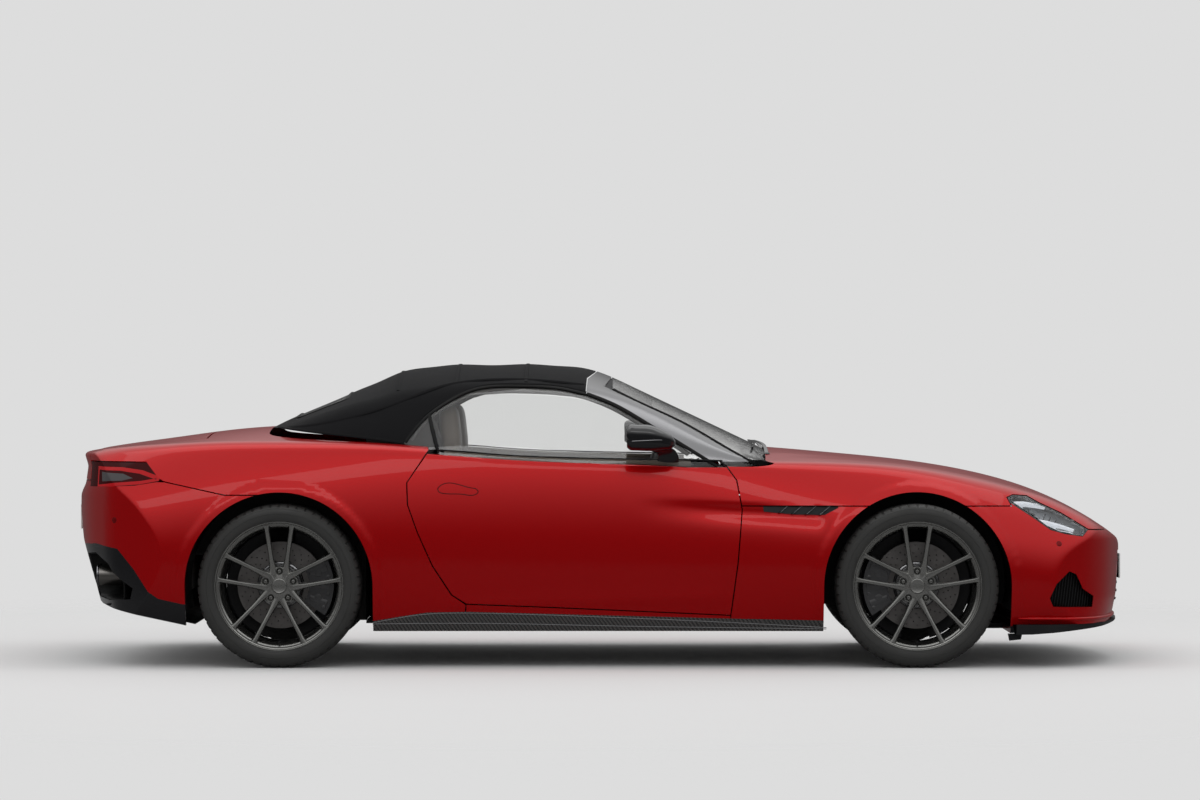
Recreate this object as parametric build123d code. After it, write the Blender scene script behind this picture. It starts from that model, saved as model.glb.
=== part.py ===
from build123d import *

from functools import lru_cache
import math
import os

os.makedirs("parts", exist_ok=True)

# A front-engined two-plus-two convertible with its fabric roof raised. Millimetres.
# +X points to the nose, +Y to the car's left, +Z up. The origin is on the ground at mid length.

# ---------------------------------------------------------------- driving dimensions
WHEELBASE = 2805.0
FRONT_OVERHANG = 975.0
REAR_OVERHANG = 960.0
BODY_HALF_WIDTH = 980.0

SKIN = 22.0  # thickness of a body panel with its folded edges
PANEL_GAP = 5.0  # shut line between two panels
SEAT_GAP = 0.3  # between a piece and what carries it
RUN_GAP = 6.0  # between a moving piece and its neighbours

TYRE_RADIUS = 360.0
FRONT_TYRE_WIDTH = 275.0
REAR_TYRE_WIDTH = 325.0
TYRE_FACE_Y = 966.0  # outer side wall of every tyre, from the middle of the car
RIM_LIP_RADIUS = 285.0
RIM_SEAT_RADIUS = 267.0
RIM_BORE_RADIUS = 250.0
LIP_THICKNESS = 10.0
LIP_INSET = 12.0  # rim lip inside the tyre's side wall
SPOKE_PAIRS = 5
SPOKE_WIDTH = 24.0
SPOKE_DEPTH = 30.0
SPOKE_SPLAY = 24.0  # degrees, outer end of a spoke from the root that it shares with its neighbour
HUB_RADIUS = 82.0
DISC_RADIUS = 192.0
DISC_THICKNESS = 30.0
DISC_HAT_RADIUS = 112.0
STUB_RADIUS = 58.0
STUB_CLEARANCE = 0.1
CALIPER_OUTER_RADIUS = 236.0
CALIPER_INNER_RADIUS = 128.0
CALIPER_SPREAD = 34.0  # degrees each side of the axle line
KINGPIN_INSET = 40.0  # from the tyre's middle plane towards the car
ARCH_RADIUS = 412.0
WELL_RADIUS = 424.0
WELL_INNER_Y = 490.0
LINER_WALL = 4.0

DOOR_THICKNESS = 120.0
GLASS = 5.0
ROOF_CLOTH = 24.0
ROOF_SEAT = 0.5  # between the raised roof's foot and the deck
PILLAR_WALL = 32.0

# ---------------------------------------------------------------- places along the car
NOSE_X = (WHEELBASE + FRONT_OVERHANG + REAR_OVERHANG) / 2
TAIL_X = -NOSE_X
FRONT_AXLE_X = NOSE_X - FRONT_OVERHANG
REAR_AXLE_X = TAIL_X + REAR_OVERHANG
BASE_NOSE_X, BASE_TAIL_X, BASE_FRONT_AXLE_X, BASE_REAR_AXLE_X = 2370.0, -2370.0, 1395.0, -1410.0


def along(x):
    """A lengthwise place of the base car, moved to the present wheelbase and overhangs."""
    if x > BASE_FRONT_AXLE_X:
        share = (x - BASE_FRONT_AXLE_X) / (BASE_NOSE_X - BASE_FRONT_AXLE_X)
        return FRONT_AXLE_X + share * FRONT_OVERHANG
    if x < BASE_REAR_AXLE_X:
        share = (x - BASE_REAR_AXLE_X) / (BASE_TAIL_X - BASE_REAR_AXLE_X)
        return REAR_AXLE_X - share * REAR_OVERHANG
    share = (x - BASE_REAR_AXLE_X) / (BASE_FRONT_AXLE_X - BASE_REAR_AXLE_X)
    return REAR_AXLE_X + share * WHEELBASE


# Sections of the body below the belt: the side is one arc from the sill through the widest
# point to the shoulder crest, and the top is one arc over the middle of the car.
# Columns: x, sill z, sill y, widest z, widest y, crest z, crest y, middle z.
HULL = [
    (-2470, 300, 760, 700, 850, 905, 600, 915),
    (-2250, 190, 840, 680, 925, 950, 680, 958),
    (-1950, 150, 885, 660, 962, 978, 770, 1001),
    (-1677, 150, 900, 640, 978, 988, 820, 1037),
    (-1410, 150, 900, 630, 980, 988, 845, 1055),
    (-900, 150, 895, 640, 958, 974, 862, 1040),
    (-300, 150, 890, 640, 938, 931, 868, 990),
    (300, 150, 890, 640, 937, 915, 862, 975),
    (694, 150, 892, 630, 948, 901, 848, 961),
    (1050, 150, 896, 610, 968, 894, 822, 932),
    (1395, 150, 896, 600, 976, 868, 800, 897),
    (1768, 150, 885, 560, 955, 790, 770, 830),
    (2100, 160, 850, 500, 905, 690, 690, 710),
    (2470, 200, 780, 430, 820, 455, 560, 470),
]

# Sections above the belt. Columns: x, belt z, belt y, shoulder z, shoulder y, middle z.
CABIN = [
    (-1620, 860, 780, 960, 540, 975),
    (-1450, 860, 824, 1034, 590, 1070),
    (-1300, 860, 842, 1090, 630, 1136),
    (-1117, 860, 850, 1148, 650, 1214),
    (-900, 860, 855, 1200, 655, 1304),
    (-600, 860, 860, 1240, 650, 1336),
    (-300, 860, 862, 1242, 645, 1337),
    (-9, 860, 862, 1214, 645, 1302),
    (150, 860, 860, 1166, 668, 1234),
    (400, 860, 856, 1050, 735, 1116),
    (617, 860, 848, 944, 780, 1013),
    (800, 840, 830, 880, 780, 926),
]
CABIN_BULGE = 26.0  # outward bow of the side glass

# Outline of the body seen from the side. Columns: x, z.
NOSE_PROFILE = [(2236, 640), (2300, 598), (2352, 556), (2370, 510), (2362, 440), (2345, 300), (2322, 215),
                (2300, 150)]
TAIL_PROFILE = [(-2150, 150), (-2240, 235), (-2300, 420), (-2345, 545), (-2370, 690), (-2366, 745), (-2332, 800),
                (-2318, 880), (-2338, 930), (-2313, 948), (-2240, 952)]


def points(table, stretch=along):
    return [(stretch(x), z) for x, z in table]


def side_prism(table, low_y, high_y):
    """The solid between two planes of constant y whose outline seen from the side is the table."""
    outline = Plane.XZ * make_face(Polyline(*points(table), close=True))
    return Pos(0, high_y, 0) * extrude(outline, amount=high_y - low_y)


def box(x0, x1, y0, y1, z0, z1):
    return Pos((x0 + x1) / 2, (y0 + y1) / 2, (z0 + z1) / 2) * Box(x1 - x0, y1 - y0, z1 - z0)


def span_box(x0, x1, y0, y1, z0, z1):
    """A box whose lengthwise places follow the wheelbase."""
    return box(along(x0), along(x1), y0, y1, z0, z1)


def cylinder_y(x, z, radius, y0, y1):
    """A round bar along Y."""
    return Pos(x, (y0 + y1) / 2, z) * Rot(90, 0, 0) * Cylinder(radius, y1 - y0)


def hull_section(row, inset):
    x, sill_z, sill_y, wide_z, wide_y, crest_z, crest_y, middle_z = row
    wide = BODY_HALF_WIDTH / 980.0
    low_z, low_y = sill_z + inset, sill_y * wide - inset
    wide_y = wide_y * wide - inset
    crest_z, crest_y = crest_z - inset, crest_y * wide - inset
    middle_z = middle_z - inset
    edges = [
        Line((-low_y, low_z), (low_y, low_z)),
        ThreePointArc((low_y, low_z), (wide_y, wide_z), (crest_y, crest_z)),
        ThreePointArc((crest_y, crest_z), (0, middle_z), (-crest_y, crest_z)),
        ThreePointArc((-crest_y, crest_z), (-wide_y, wide_z), (-low_y, low_z)),
    ]
    return Plane((along(x), 0, 0), x_dir=(0, 1, 0), z_dir=(1, 0, 0)) * make_face(edges)


def cabin_section(row, inset):
    x, belt_z, belt_y, shoulder_z, shoulder_y, middle_z = row
    wide = BODY_HALF_WIDTH / 980.0
    belt_y = belt_y * wide - inset
    shoulder_z, shoulder_y = shoulder_z - inset * 0.7, shoulder_y * wide - inset * 0.7
    middle_z = middle_z - inset
    mean_y = (belt_y + shoulder_y) / 2 + CABIN_BULGE
    mean_z = (belt_z + shoulder_z) / 2 + CABIN_BULGE / 2
    edges = [
        Line((-belt_y, belt_z), (belt_y, belt_z)),
        ThreePointArc((belt_y, belt_z), (mean_y, mean_z), (shoulder_y, shoulder_z)),
        ThreePointArc((shoulder_y, shoulder_z), (0, middle_z), (-shoulder_y, shoulder_z)),
        ThreePointArc((-shoulder_y, shoulder_z), (-mean_y, mean_z), (-belt_y, belt_z)),
    ]
    return Plane((along(x), 0, 0), x_dir=(0, 1, 0), z_dir=(1, 0, 0)) * make_face(edges)


def plan_prism(inset):
    """The solid inside the outline seen from above, rounded at the nose and the tail."""
    edges = [
        ThreePointArc((along(2250) - inset, -690), (NOSE_X - inset, 0), (along(2250) - inset, 690)),
        ThreePointArc((along(2250) - inset, 690), (along(2130) - inset, 862), (along(1800), 1010 - inset)),
        Line((along(1800), 1010 - inset), (along(-1800), 1010 - inset)),
        ThreePointArc((along(-1800), 1010 - inset), (along(-2140) + inset, 880), (along(-2262) + inset, 690)),
        ThreePointArc((along(-2262) + inset, 690), (TAIL_X + inset, 0), (along(-2262) + inset, -690)),
        ThreePointArc((along(-2262) + inset, -690), (along(-2140) + inset, -880), (along(-1800), -1010 + inset)),
        Line((along(-1800), -1010 + inset), (along(1800), -1010 + inset)),
        ThreePointArc((along(1800), -1010 + inset), (along(2130) - inset, -862), (along(2250) - inset, -690)),
    ]
    return extrude(make_face(edges), amount=1200)


def profile_prism(inset):
    """The solid inside the nose and tail outlines seen from the side."""
    nose = [(along(x) - inset, z) for x, z in NOSE_PROFILE]
    tail = [(along(x) + inset, z) for x, z in TAIL_PROFILE]
    top = [(tail[-1][0], 1200), (nose[0][0], 1200)]
    low = [(nose[-1][0], 50), (tail[0][0], 50)]
    outline = Plane.XZ * make_face(Polyline(*top, *nose, *low, *tail, close=True))
    return Pos(0, 1100, 0) * extrude(outline, amount=2200)


@lru_cache(maxsize=None)
def body_volume(inset):
    """Everything inside the body's surface below the belt, drawn in by the inset."""
    volume = loft([hull_section(row, inset) for row in HULL])
    return volume & plan_prism(inset) & profile_prism(inset)


@lru_cache(maxsize=None)
def cabin_volume(inset):
    return loft([cabin_section(row, inset) for row in CABIN])


# ---------------------------------------------------------------- outlines of the panels, columns: x, z
DOOR_SKIN = [(540, 905), (599, 823), (623, 696), (604, 465), (573, 233), (-220, 268), (-588, 283), (-650, 323),
             (-733, 450), (-799, 595), (-843, 718), (-847, 814), (-751, 955), (-701, 952), (-397, 928), (0, 914),
             (397, 908)]
DOOR_CORE = [(520, 880), (565, 800), (580, 690), (562, 470), (530, 262), (-220, 296), (-560, 310), (-615, 345),
             (-690, 465), (-752, 600), (-795, 720), (-798, 800), (-740, 920), (-397, 915), (0, 900), (397, 893)]
BONNET_OUTLINE = [(544.4, 1200), (544.4, 908), (604.7, 824), (624.9, 714), (1395, 714), (1812, 712), (1795, 748),
                  (1826, 760), (1890, 755), (1945, 724), (2040, 680), (2160, 607), (2284, 600), (2288, 1200)]
BUMPER_FRONT = [(1400, 709), (1819, 707), (1802, 745), (1827, 755), (1888, 750), (1943, 719), (2038, 675),
                (2158, 602), (2292, 595), (2310, 640), (2500, 640), (2500, 190), (1815, 190), (1830, 150),
                (1400, 150)]
LAMP_HOLE = [(1802, 745), (1827, 755), (1888, 750), (1943, 719), (2038, 675), (2158, 602), (2130, 574),
             (2050, 586), (1985, 604), (1900, 664), (1812, 722)]
FENDER_LOWER = [(628.2, 696), (609.2, 464.5), (578.2, 232.5), (577, 216.3), (1000, 208.3), (1395, 208),
                (1395, 709), (625.2, 709)]
REAR_BUMPER = [(-1410, 757), (-1650, 757), (-1920, 815), (-2500, 815), (-2500, 100), (-1410, 100)]
LAMP_REAR = [(-1944, 817), (-1940, 828), (-2000, 900), (-2500, 905), (-2500, 780), (-2300, 790), (-2050, 800)]
BOOT_LID = [(-1757, 1200), (-1757, 900), (-2140, 880), (-2140, 820), (-2500, 820), (-2500, 1200)]
BOOT_HALF_WIDTH = 610.0
DECK_HALF_WIDTH = 690.0
DIFFUSER = [(-2236, 540), (-2500, 510), (-2500, 100), (-1700, 100), (-1700, 277), (-1834, 281), (-1940, 305),
            (-1984, 336), (-2051, 435), (-2126, 522)]
TAIL_RISE = [(-1778, 176), (-2500, 333), (-2500, 50), (-1778, 50)]
SPLITTER = [(1830.3, 146), (1830.3, 189.7), (2400, 189.7), (2400, 184), (2330, 180), (1900, 147)]
SPLITTER_INSET = 14.0
SKIRT = [(-1010, 160), (-1010, 202.7), (-880, 225), (-760, 243), (-594, 246), (-587.5, 246.5), (-587.5, 277.5),
         (-220, 262.9), (573.2, 227.9), (573.2, 216), (1000, 208), (1000, 160)]
QUARTER = [(-805, 597), (-848.5, 718.5), (-852.5, 813.5), (-757, 958), (-862, 1300), (-2500, 1300),
           (-2500, 910), (-2004, 905), (-1946, 834), (-1920, 820), (-1650, 762), (-1410, 762), (-1410, 200),
           (-1012, 203), (-880, 225.3), (-760, 243.3), (-594, 246.3), (-591, 277), (-655, 319.5), (-738, 447.5)]

DOOR_INNER_Y = 935 - DOOR_THICKNESS

VENT = [(712, 740), (1052, 740), (1046, 703), (986, 672), (849, 675), (720, 687)]
VENT_RECESS = 9.0

ROOT = "body"
BODIES = {ROOT: []}
NODES = {}


def add(name, shape, body=ROOT):
    """Keeps a finished piece under its name, and notes the body it moves with."""
    NODES[name] = shape
    BODIES.setdefault(body, []).append(name)


def both(shape):
    """A piece and its mirror image on the other side of the car."""
    return shape + mirror(shape, about=Plane.XZ)


def right_side(table, inner_y=0.0):
    """A side prism over the right half of the car, from inner_y outwards."""
    return side_prism(table, -1100, -inner_y)


def arch_cut(axle_x, radius, inner_y):
    """Both arches of an axle: round above the wheel centre, straight down below it."""
    hole = cylinder_y(axle_x, TYRE_RADIUS, radius, -1100, -inner_y)
    hole += box(axle_x - radius, axle_x + radius, -1100, -inner_y, -50, TYRE_RADIUS)
    return both(hole)


# ---------------------------------------------------------------- wheels
def ring_profile(rows):
    """Half section of a turned piece. Columns: distance from the axle, place along it."""
    return Plane.XY * make_face(Polyline(*[(r, u) for r, u in rows], close=True))


def turned(rows):
    """A piece turned about the Y axis, its profile given by radius and outward place."""
    return revolve(ring_profile(rows), axis=Axis.Y)


def tyre_shape(width):
    half = width / 2
    lip = half - LIP_INSET - LIP_THICKNESS - SEAT_GAP
    seat = RIM_SEAT_RADIUS + SEAT_GAP
    bead = RIM_LIP_RADIUS + SEAT_GAP
    side = [(seat, lip), (bead, lip), (bead, half - 6), (bead + 18, half), (TYRE_RADIUS - 22, half - 3),
            (TYRE_RADIUS - 7, half - 12), (TYRE_RADIUS, half - 34)]
    return turned(side + [(r, -u) for r, u in reversed(side)])


def rim_shape(width):
    half = width / 2
    face = half - 33
    out, lip = half - LIP_INSET, half - LIP_INSET - LIP_THICKNESS
    side = [(RIM_BORE_RADIUS, out), (RIM_LIP_RADIUS, out), (RIM_LIP_RADIUS, lip), (RIM_SEAT_RADIUS, lip)]
    barrel = turned(side + [(r, -u) for r, u in reversed(side)])
    hub = turned([(0, face - 45), (HUB_RADIUS, face - 45), (HUB_RADIUS, face - 14), (34, face - 6), (0, face - 6)])
    dish = turned([(HUB_RADIUS - 20, face - 14 - SPOKE_DEPTH), (RIM_BORE_RADIUS + 4, face + 8 - SPOKE_DEPTH),
                   (RIM_BORE_RADIUS + 4, face + 12), (HUB_RADIUS - 20, face - 14)])
    spokes = []
    for pair in range(SPOKE_PAIRS):
        middle = 270 + pair * 360 / SPOKE_PAIRS
        for side_sign in (-1, 1):
            outer = math.radians(middle + side_sign * (180 / SPOKE_PAIRS - SPOKE_SPLAY))
            inner = math.radians(middle + side_sign * 180 / SPOKE_PAIRS)
            root_r, tip_r = HUB_RADIUS - 14, RIM_BORE_RADIUS + 3
            start = Vector(root_r * math.cos(inner), root_r * math.sin(inner), 0)
            end = Vector(tip_r * math.cos(outer), tip_r * math.sin(outer), 0)
            middle_point = (start + end) / 2
            length = (end - start).length
            turn = math.degrees(math.atan2(end.Y - start.Y, end.X - start.X))
            bar = Pos(middle_point.X, half, -middle_point.Y) * Rot(0, turn, 0) * Box(length, width, SPOKE_WIDTH)
            spokes.append(bar)
    return barrel + hub + ((Part() + spokes) & dish)


def disc_shape(width):
    face = width / 2 - 33
    bore = STUB_RADIUS + STUB_CLEARANCE
    back = face - 45 - SEAT_GAP
    inside = -8 + DISC_THICKNESS
    rows = [(bore, -8), (DISC_RADIUS, -8), (DISC_RADIUS, inside), (DISC_HAT_RADIUS, inside),
            (DISC_HAT_RADIUS, back), (bore, back)]
    return turned(rows)


def knuckle_shape(width):
    face = width / 2 - 33
    stub = turned([(0, -20), (STUB_RADIUS, -20), (STUB_RADIUS, face - 45 - RUN_GAP), (0, face - 45 - RUN_GAP)])
    plate = Pos(0, -KINGPIN_INSET, 0) * Box(112, 36, 2 * 128)
    lugs = [Pos(0, -KINGPIN_INSET, side * 118) * Cylinder(20, 20) for side in (-1, 1)]
    stub += turned([(0, -KINGPIN_INSET + 10), (STUB_RADIUS + 14, -KINGPIN_INSET + 10), (STUB_RADIUS + 14, -18),
                    (0, -18)])
    return stub + plate + lugs


def caliper_shape(width, toward_x):
    """A caliper that straddles the disc on the side toward_x of the axle."""
    face = width / 2 - 33
    outer = min(face - 45, 58)
    rows = [(CALIPER_INNER_RADIUS, -40), (CALIPER_OUTER_RADIUS, -40), (CALIPER_OUTER_RADIUS, outer),
            (CALIPER_INNER_RADIUS, outer)]
    block = revolve(ring_profile(rows), axis=Axis.Y, revolution_arc=2 * CALIPER_SPREAD)
    turn = CALIPER_SPREAD if toward_x > 0 else 180 + CALIPER_SPREAD
    block = Rot(0, -turn, 0) * block
    if block.center().X * toward_x < 0:
        block = Rot(0, 180, 0) * block
    slot = turned([(0, -8 - RUN_GAP), (DISC_RADIUS + RUN_GAP, -8 - RUN_GAP),
                   (DISC_RADIUS + RUN_GAP, -8 + DISC_THICKNESS + RUN_GAP), (0, -8 + DISC_THICKNESS + RUN_GAP)])
    return block - slot


def carried(width, toward_x):
    """Knuckle with its caliper's bracket ear, and the caliper itself."""
    knuckle = knuckle_shape(width)
    ear = Pos(toward_x * 95, -KINGPIN_INSET - 8, 0) * Box(130, 20, 90)
    caliper = caliper_shape(width, toward_x)
    return knuckle + (ear - caliper), caliper


CORNERS = [  # name, axle, side, tyre width, where the caliper sits, steered
    ("front_left", FRONT_AXLE_X, 1, FRONT_TYRE_WIDTH, -1, True),
    ("front_right", FRONT_AXLE_X, -1, FRONT_TYRE_WIDTH, -1, True),
    ("rear_left", REAR_AXLE_X, 1, REAR_TYRE_WIDTH, 1, False),
    ("rear_right", REAR_AXLE_X, -1, REAR_TYRE_WIDTH, 1, False),
]

for corner, axle_x, side, width, toward_x, steered in CORNERS:
    centre_y = TYRE_FACE_Y - width / 2
    place = Pos(axle_x, side * centre_y, TYRE_RADIUS)
    knuckle, caliper = carried(width, toward_x)
    shapes = {"tyre": tyre_shape(width), "rim": rim_shape(width), "disc": disc_shape(width),
              "knuckle": knuckle + caliper}
    for piece, shape in shapes.items():
        if side < 0:
            shape = mirror(shape, about=Plane.XZ)
        moving = piece in ("tyre", "rim", "disc")
        body = "wheel_" + corner if moving else ("steer_" + corner if steered else ROOT)
        add(piece + "_" + corner, place * shape, body)

# ---------------------------------------------------------------- body panels
outer = body_volume(0)
inner = body_volume(SKIN)
frame_room = body_volume(SKIN + SEAT_GAP)
shell = outer - inner
front_arches = arch_cut(FRONT_AXLE_X, ARCH_RADIUS, WELL_INNER_Y)
rear_arches = arch_cut(REAR_AXLE_X, ARCH_RADIUS, WELL_INNER_Y)
underside = box(along(-1900), along(1400), -DOOR_INNER_Y - 20, DOOR_INNER_Y + 20, 0, 330)
skin = shell - front_arches - rear_arches - underside - side_prism(TAIL_RISE, -1100, 1100)

everywhere = 1100.0
cabin_outer = cabin_volume(0)

bonnet = skin & side_prism(BONNET_OUTLINE, -everywhere, everywhere)
bonnet -= cabin_volume(-8)
add("bonnet", bonnet, "bonnet")

bumper_front = skin & side_prism(BUMPER_FRONT, -everywhere, everywhere)
bumper_front -= both(right_side(LAMP_HOLE, 300))
add("front_bumper", bumper_front)

fenders = skin & both(right_side(FENDER_LOWER, 500))
vent_zone = both(right_side(VENT, 700))
add("front_fenders", fenders - vent_zone)

glass_slot = cabin_volume(-1) - cabin_volume(GLASS + 1)
door_skin = skin & right_side(DOOR_SKIN, DOOR_INNER_Y)
door_core = inner & side_prism(DOOR_CORE, -BODY_HALF_WIDTH, -DOOR_INNER_Y)
door_right = max((door_skin + door_core - glass_slot).solids(), key=lambda solid: solid.volume)
add("door_right", door_right, "door_right")
add("door_left", mirror(door_right, about=Plane.XZ), "door_left")


# ---------------------------------------------------------------- rear panels
deck_outline = [(-1749, 895), (-1749, 1300), (-868, 1300), (-868, 962), (-1500, 900)]
deck_prism = side_prism(deck_outline, -DECK_HALF_WIDTH, DECK_HALF_WIDTH)
boot_gap_prism = side_prism([(-1749, 1300), (-1749, 895), (-2145, 875), (-2145, 815), (-2500, 815), (-2500, 1300)],
                            -BOOT_HALF_WIDTH - PANEL_GAP, BOOT_HALF_WIDTH + PANEL_GAP)
lamp_rear_zone = both(right_side(LAMP_REAR, BOOT_HALF_WIDTH + PANEL_GAP))
quarter = both(skin & right_side(QUARTER, 300))
add("rear_quarters", quarter - boot_gap_prism - cabin_volume(-ROOF_SEAT) - deck_prism - lamp_rear_zone)
tonneau = skin & side_prism([(-1749, 1300), (-1749, 880), (-862, 880), (-862, 1300)], -DECK_HALF_WIDTH + SEAT_GAP,
                            DECK_HALF_WIDTH - SEAT_GAP)
add("tonneau_panel", tonneau - cabin_volume(-ROOF_SEAT))
boot_prism = side_prism(BOOT_LID, -BOOT_HALF_WIDTH, BOOT_HALF_WIDTH)
add("boot_lid", skin & boot_prism, "boot_lid")
bumper_rear = skin & side_prism(REAR_BUMPER, -everywhere, everywhere)
diffuser_prism = side_prism(DIFFUSER, -everywhere, everywhere)
add("rear_bumper", bumper_rear - diffuser_prism - lamp_rear_zone - boot_gap_prism)
diffuser = skin & diffuser_prism & side_prism(REAR_BUMPER, -everywhere, everywhere)

TIP_RADIUS = 46.0
TIP_WALL = 4.0
TIP_Y = (-560.0, -660.0, 560.0, 660.0)
TIP_Z = 395.0
TIP_BACK_X = along(-2236)
TIP_FRONT_X = along(-2080)
SILENCER = (along(-2075), along(-1880), 720.0, 300.0, 470.0)  # x, x, half width, z, z


def pipe_x(y, z, outer_r, inner_r, x0, x1):
    """A round pipe along X."""
    tube = Cylinder(outer_r, x1 - x0)
    if inner_r > 0:
        tube -= Cylinder(inner_r, x1 - x0)
    return Pos((x0 + x1) / 2, y, z) * Rot(0, 90, 0) * tube


tip_holes = [pipe_x(y, TIP_Z, TIP_RADIUS + SEAT_GAP, 0, TAIL_X - 50, TIP_FRONT_X) for y in TIP_Y]
add("diffuser", diffuser - tip_holes)
tips = [pipe_x(y, TIP_Z, TIP_RADIUS, TIP_RADIUS - TIP_WALL, TIP_BACK_X, TIP_FRONT_X + 10) for y in TIP_Y]
silencer = box(SILENCER[0], SILENCER[1], -SILENCER[2], SILENCER[2], SILENCER[3], SILENCER[4])
add("exhaust", silencer + [t & box(TAIL_X, SILENCER[0], -800, 800, 0, 900) for t in tips])

# ---------------------------------------------------------------- lamps
headlamp = skin & right_side(LAMP_HOLE, 300)
add("headlamps", both(headlamp) - NODES["front_bumper"])
tail_lamp = skin & right_side(LAMP_REAR, BOOT_HALF_WIDTH + PANEL_GAP + SEAT_GAP)
add("tail_lamps", both(tail_lamp) - NODES["rear_quarters"])

# ---------------------------------------------------------------- glass, pillars and roof
PILLAR_UPPER = [(-41, 1266), (19, 1237), (161, 1169), (365, 1074), (621, 926), (700, 880)]
PILLAR_LOWER = [(560, 860), (466, 913), (323, 1001), (202, 1074), (60, 1156), (-55, 1200)]
HEADER_FRONT = [(52, 1400), (52, 1275), (19, 1237)]
HEADER_BACK = [(-55, 1200), (-62, 1206), (-55, 1270), (-14, 1302), (-14, 1400)]
WINDOW_TOP = [(-66, 1207), (-172, 1230), (-349, 1241), (-579, 1221), (-686, 1168), (-783, 1099), (-865, 988)]
ROOF_FOOT = [(-865, 984), (-1056, 1006), (-1348, 1038), (-1441, 1050), (-1640, 1038)]
GLASS_TOP = [(-66, 1199), (-172, 1222), (-349, 1233), (-575, 1213), (-681, 1162)]
REAR_WINDOW = (-1372.0, -1130.0, 425.0)  # x, x, half width

glass_shell = cabin_outer - cabin_volume(GLASS)
pillar_shell = cabin_outer - cabin_volume(PILLAR_WALL)
roof_shell = cabin_outer - cabin_volume(ROOF_CLOTH)

pillar_band = side_prism(PILLAR_UPPER + PILLAR_LOWER, -everywhere, everywhere)
header_band = side_prism(HEADER_FRONT + HEADER_BACK, -everywhere, everywhere)
belt_floor = box(TAIL_X, NOSE_X, -everywhere, everywhere, 0, 905)
add("windscreen_frame", (pillar_shell & (pillar_band + header_band)) - belt_floor)

screen_edge = [(x, z + SEAT_GAP) for x, z in PILLAR_UPPER]
screen_prism = side_prism([(56, 1400), (56, 1280), (56, 1224)] + screen_edge[2:] + [(900, 860), (900, 1400)],
                          -everywhere, everywhere)
cowl_floor = box(TAIL_X, NOSE_X, -everywhere, everywhere, 0, 911 + SEAT_GAP)
screen = (glass_shell & screen_prism) - cowl_floor
add("windscreen", screen - NODES["windscreen_frame"])

window_zone = side_prism([(REAR_WINDOW[0], 900), (REAR_WINDOW[1], 900), (REAR_WINDOW[1], 1400),
                          (REAR_WINDOW[0], 1400)], -REAR_WINDOW[2], REAR_WINDOW[2])
roof_prism = side_prism([(-20, 1400), (-20, 1300), (-61, 1272), (-68, 1210)] + WINDOW_TOP + ROOF_FOOT
                        + [(-1640, 1400)], -everywhere, everywhere)
roof = (roof_shell & roof_prism) - window_zone
add("soft_top", roof)
rear_window = glass_shell & side_prism([(REAR_WINDOW[0] + SEAT_GAP, 900), (REAR_WINDOW[1] - SEAT_GAP, 900),
                                        (REAR_WINDOW[1] - SEAT_GAP, 1400), (REAR_WINDOW[0] + SEAT_GAP, 1400)],
                                       -REAR_WINDOW[2] + SEAT_GAP, REAR_WINDOW[2] - SEAT_GAP)

door_window = [(-750, 1108), (-712, 962), (-712, 860)] + [(555, 860), (460, 905)]
door_window += [(317, 993), (196, 1066), (55, 1147), (-61, 1191)] + [(x, z - 8) for x, z in GLASS_TOP[1:]]
door_glass = glass_shell & right_side(door_window, 600)
add("door_glass_right", door_glass, "door_right")
add("door_glass_left", mirror(door_glass, about=Plane.XZ), "door_left")
fixed_glass = glass_shell & right_side([(-727, 958), (-755, 958), (-866, 983), (-784, 1094), (-764, 1104)], 600)
add("rear_glass", rear_window + both(fixed_glass))

# ---------------------------------------------------------------- mirrors on the doors
MIRROR_HOUSING = (118.0, 330.0, 900.0, 1062.0, 950.0, 1075.0)  # x, x, y, y, z, z
MIRROR_FOOT = (226.0, 336.0, 868.0, 908.0, 905.0, 960.0)


def mirror_shape():
    x0, x1, y0, y1, z0, z1 = MIRROR_HOUSING
    head = box(along(x0), along(x1), -y1, -y0, z0, z1)
    head = fillet(head.edges(), 34)
    x0, x1, y0, y1, z0, z1 = MIRROR_FOOT
    foot = box(along(x0), along(x1), -y1 - 30, -y0, z0, z1)
    return (head + foot) - NODES["door_right"] - cabin_volume(-1)


door_mirror = mirror_shape()
add("mirror_right", door_mirror, "door_right")
add("mirror_left", mirror(door_mirror, about=Plane.XZ), "door_left")

# ---------------------------------------------------------------- structure under the panels
wells = arch_cut(FRONT_AXLE_X, WELL_RADIUS + LINER_WALL + SEAT_GAP, WELL_INNER_Y - 5)
wells += arch_cut(REAR_AXLE_X, WELL_RADIUS + LINER_WALL + SEAT_GAP, WELL_INNER_Y - 5)
door_room = both(box(along(-870), along(632), -everywhere, -DOOR_INNER_Y + RUN_GAP, 226, 1100))


FLOOR_Z = (160.0, 186.0)
TUNNEL_Y = 140.0
TUNNEL_TOP_Z = 400.0
SILL_TOP_Z = 226.0
BULKHEAD_X = (560.0 + SEAT_GAP, 596.0)
BULKHEAD_TOP_Z = 860.0
RAIL_X = (BULKHEAD_X[1] + SEAT_GAP, 2160.0)
RAIL_Y = (400.0, 470.0)
RAIL_Z = (330.0, 430.0)
CRASH_BEAM_X = (RAIL_X[1] + SEAT_GAP, 2230.0)
LEAF = 10.0  # thickness of a hinge leaf
DOOR_LEAF_X = (584.0, 641.0)
DOOR_LEAF_Y = (880.0, 911.0)
DOOR_LEAF_Z = (420.0, 600.0)
BONNET_LEAF_X = (2192.0, 2230.0)
BONNET_LEAF_Y = 410.0
BOOT_LEAF_X = (-1800.0, -1770.0)
BOOT_LEAF_Y = 486.0
BOOT_FLOOR_Z = (480.0, 505.0)
BOOT_WALL_Y = (464.0, 484.0)
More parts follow.
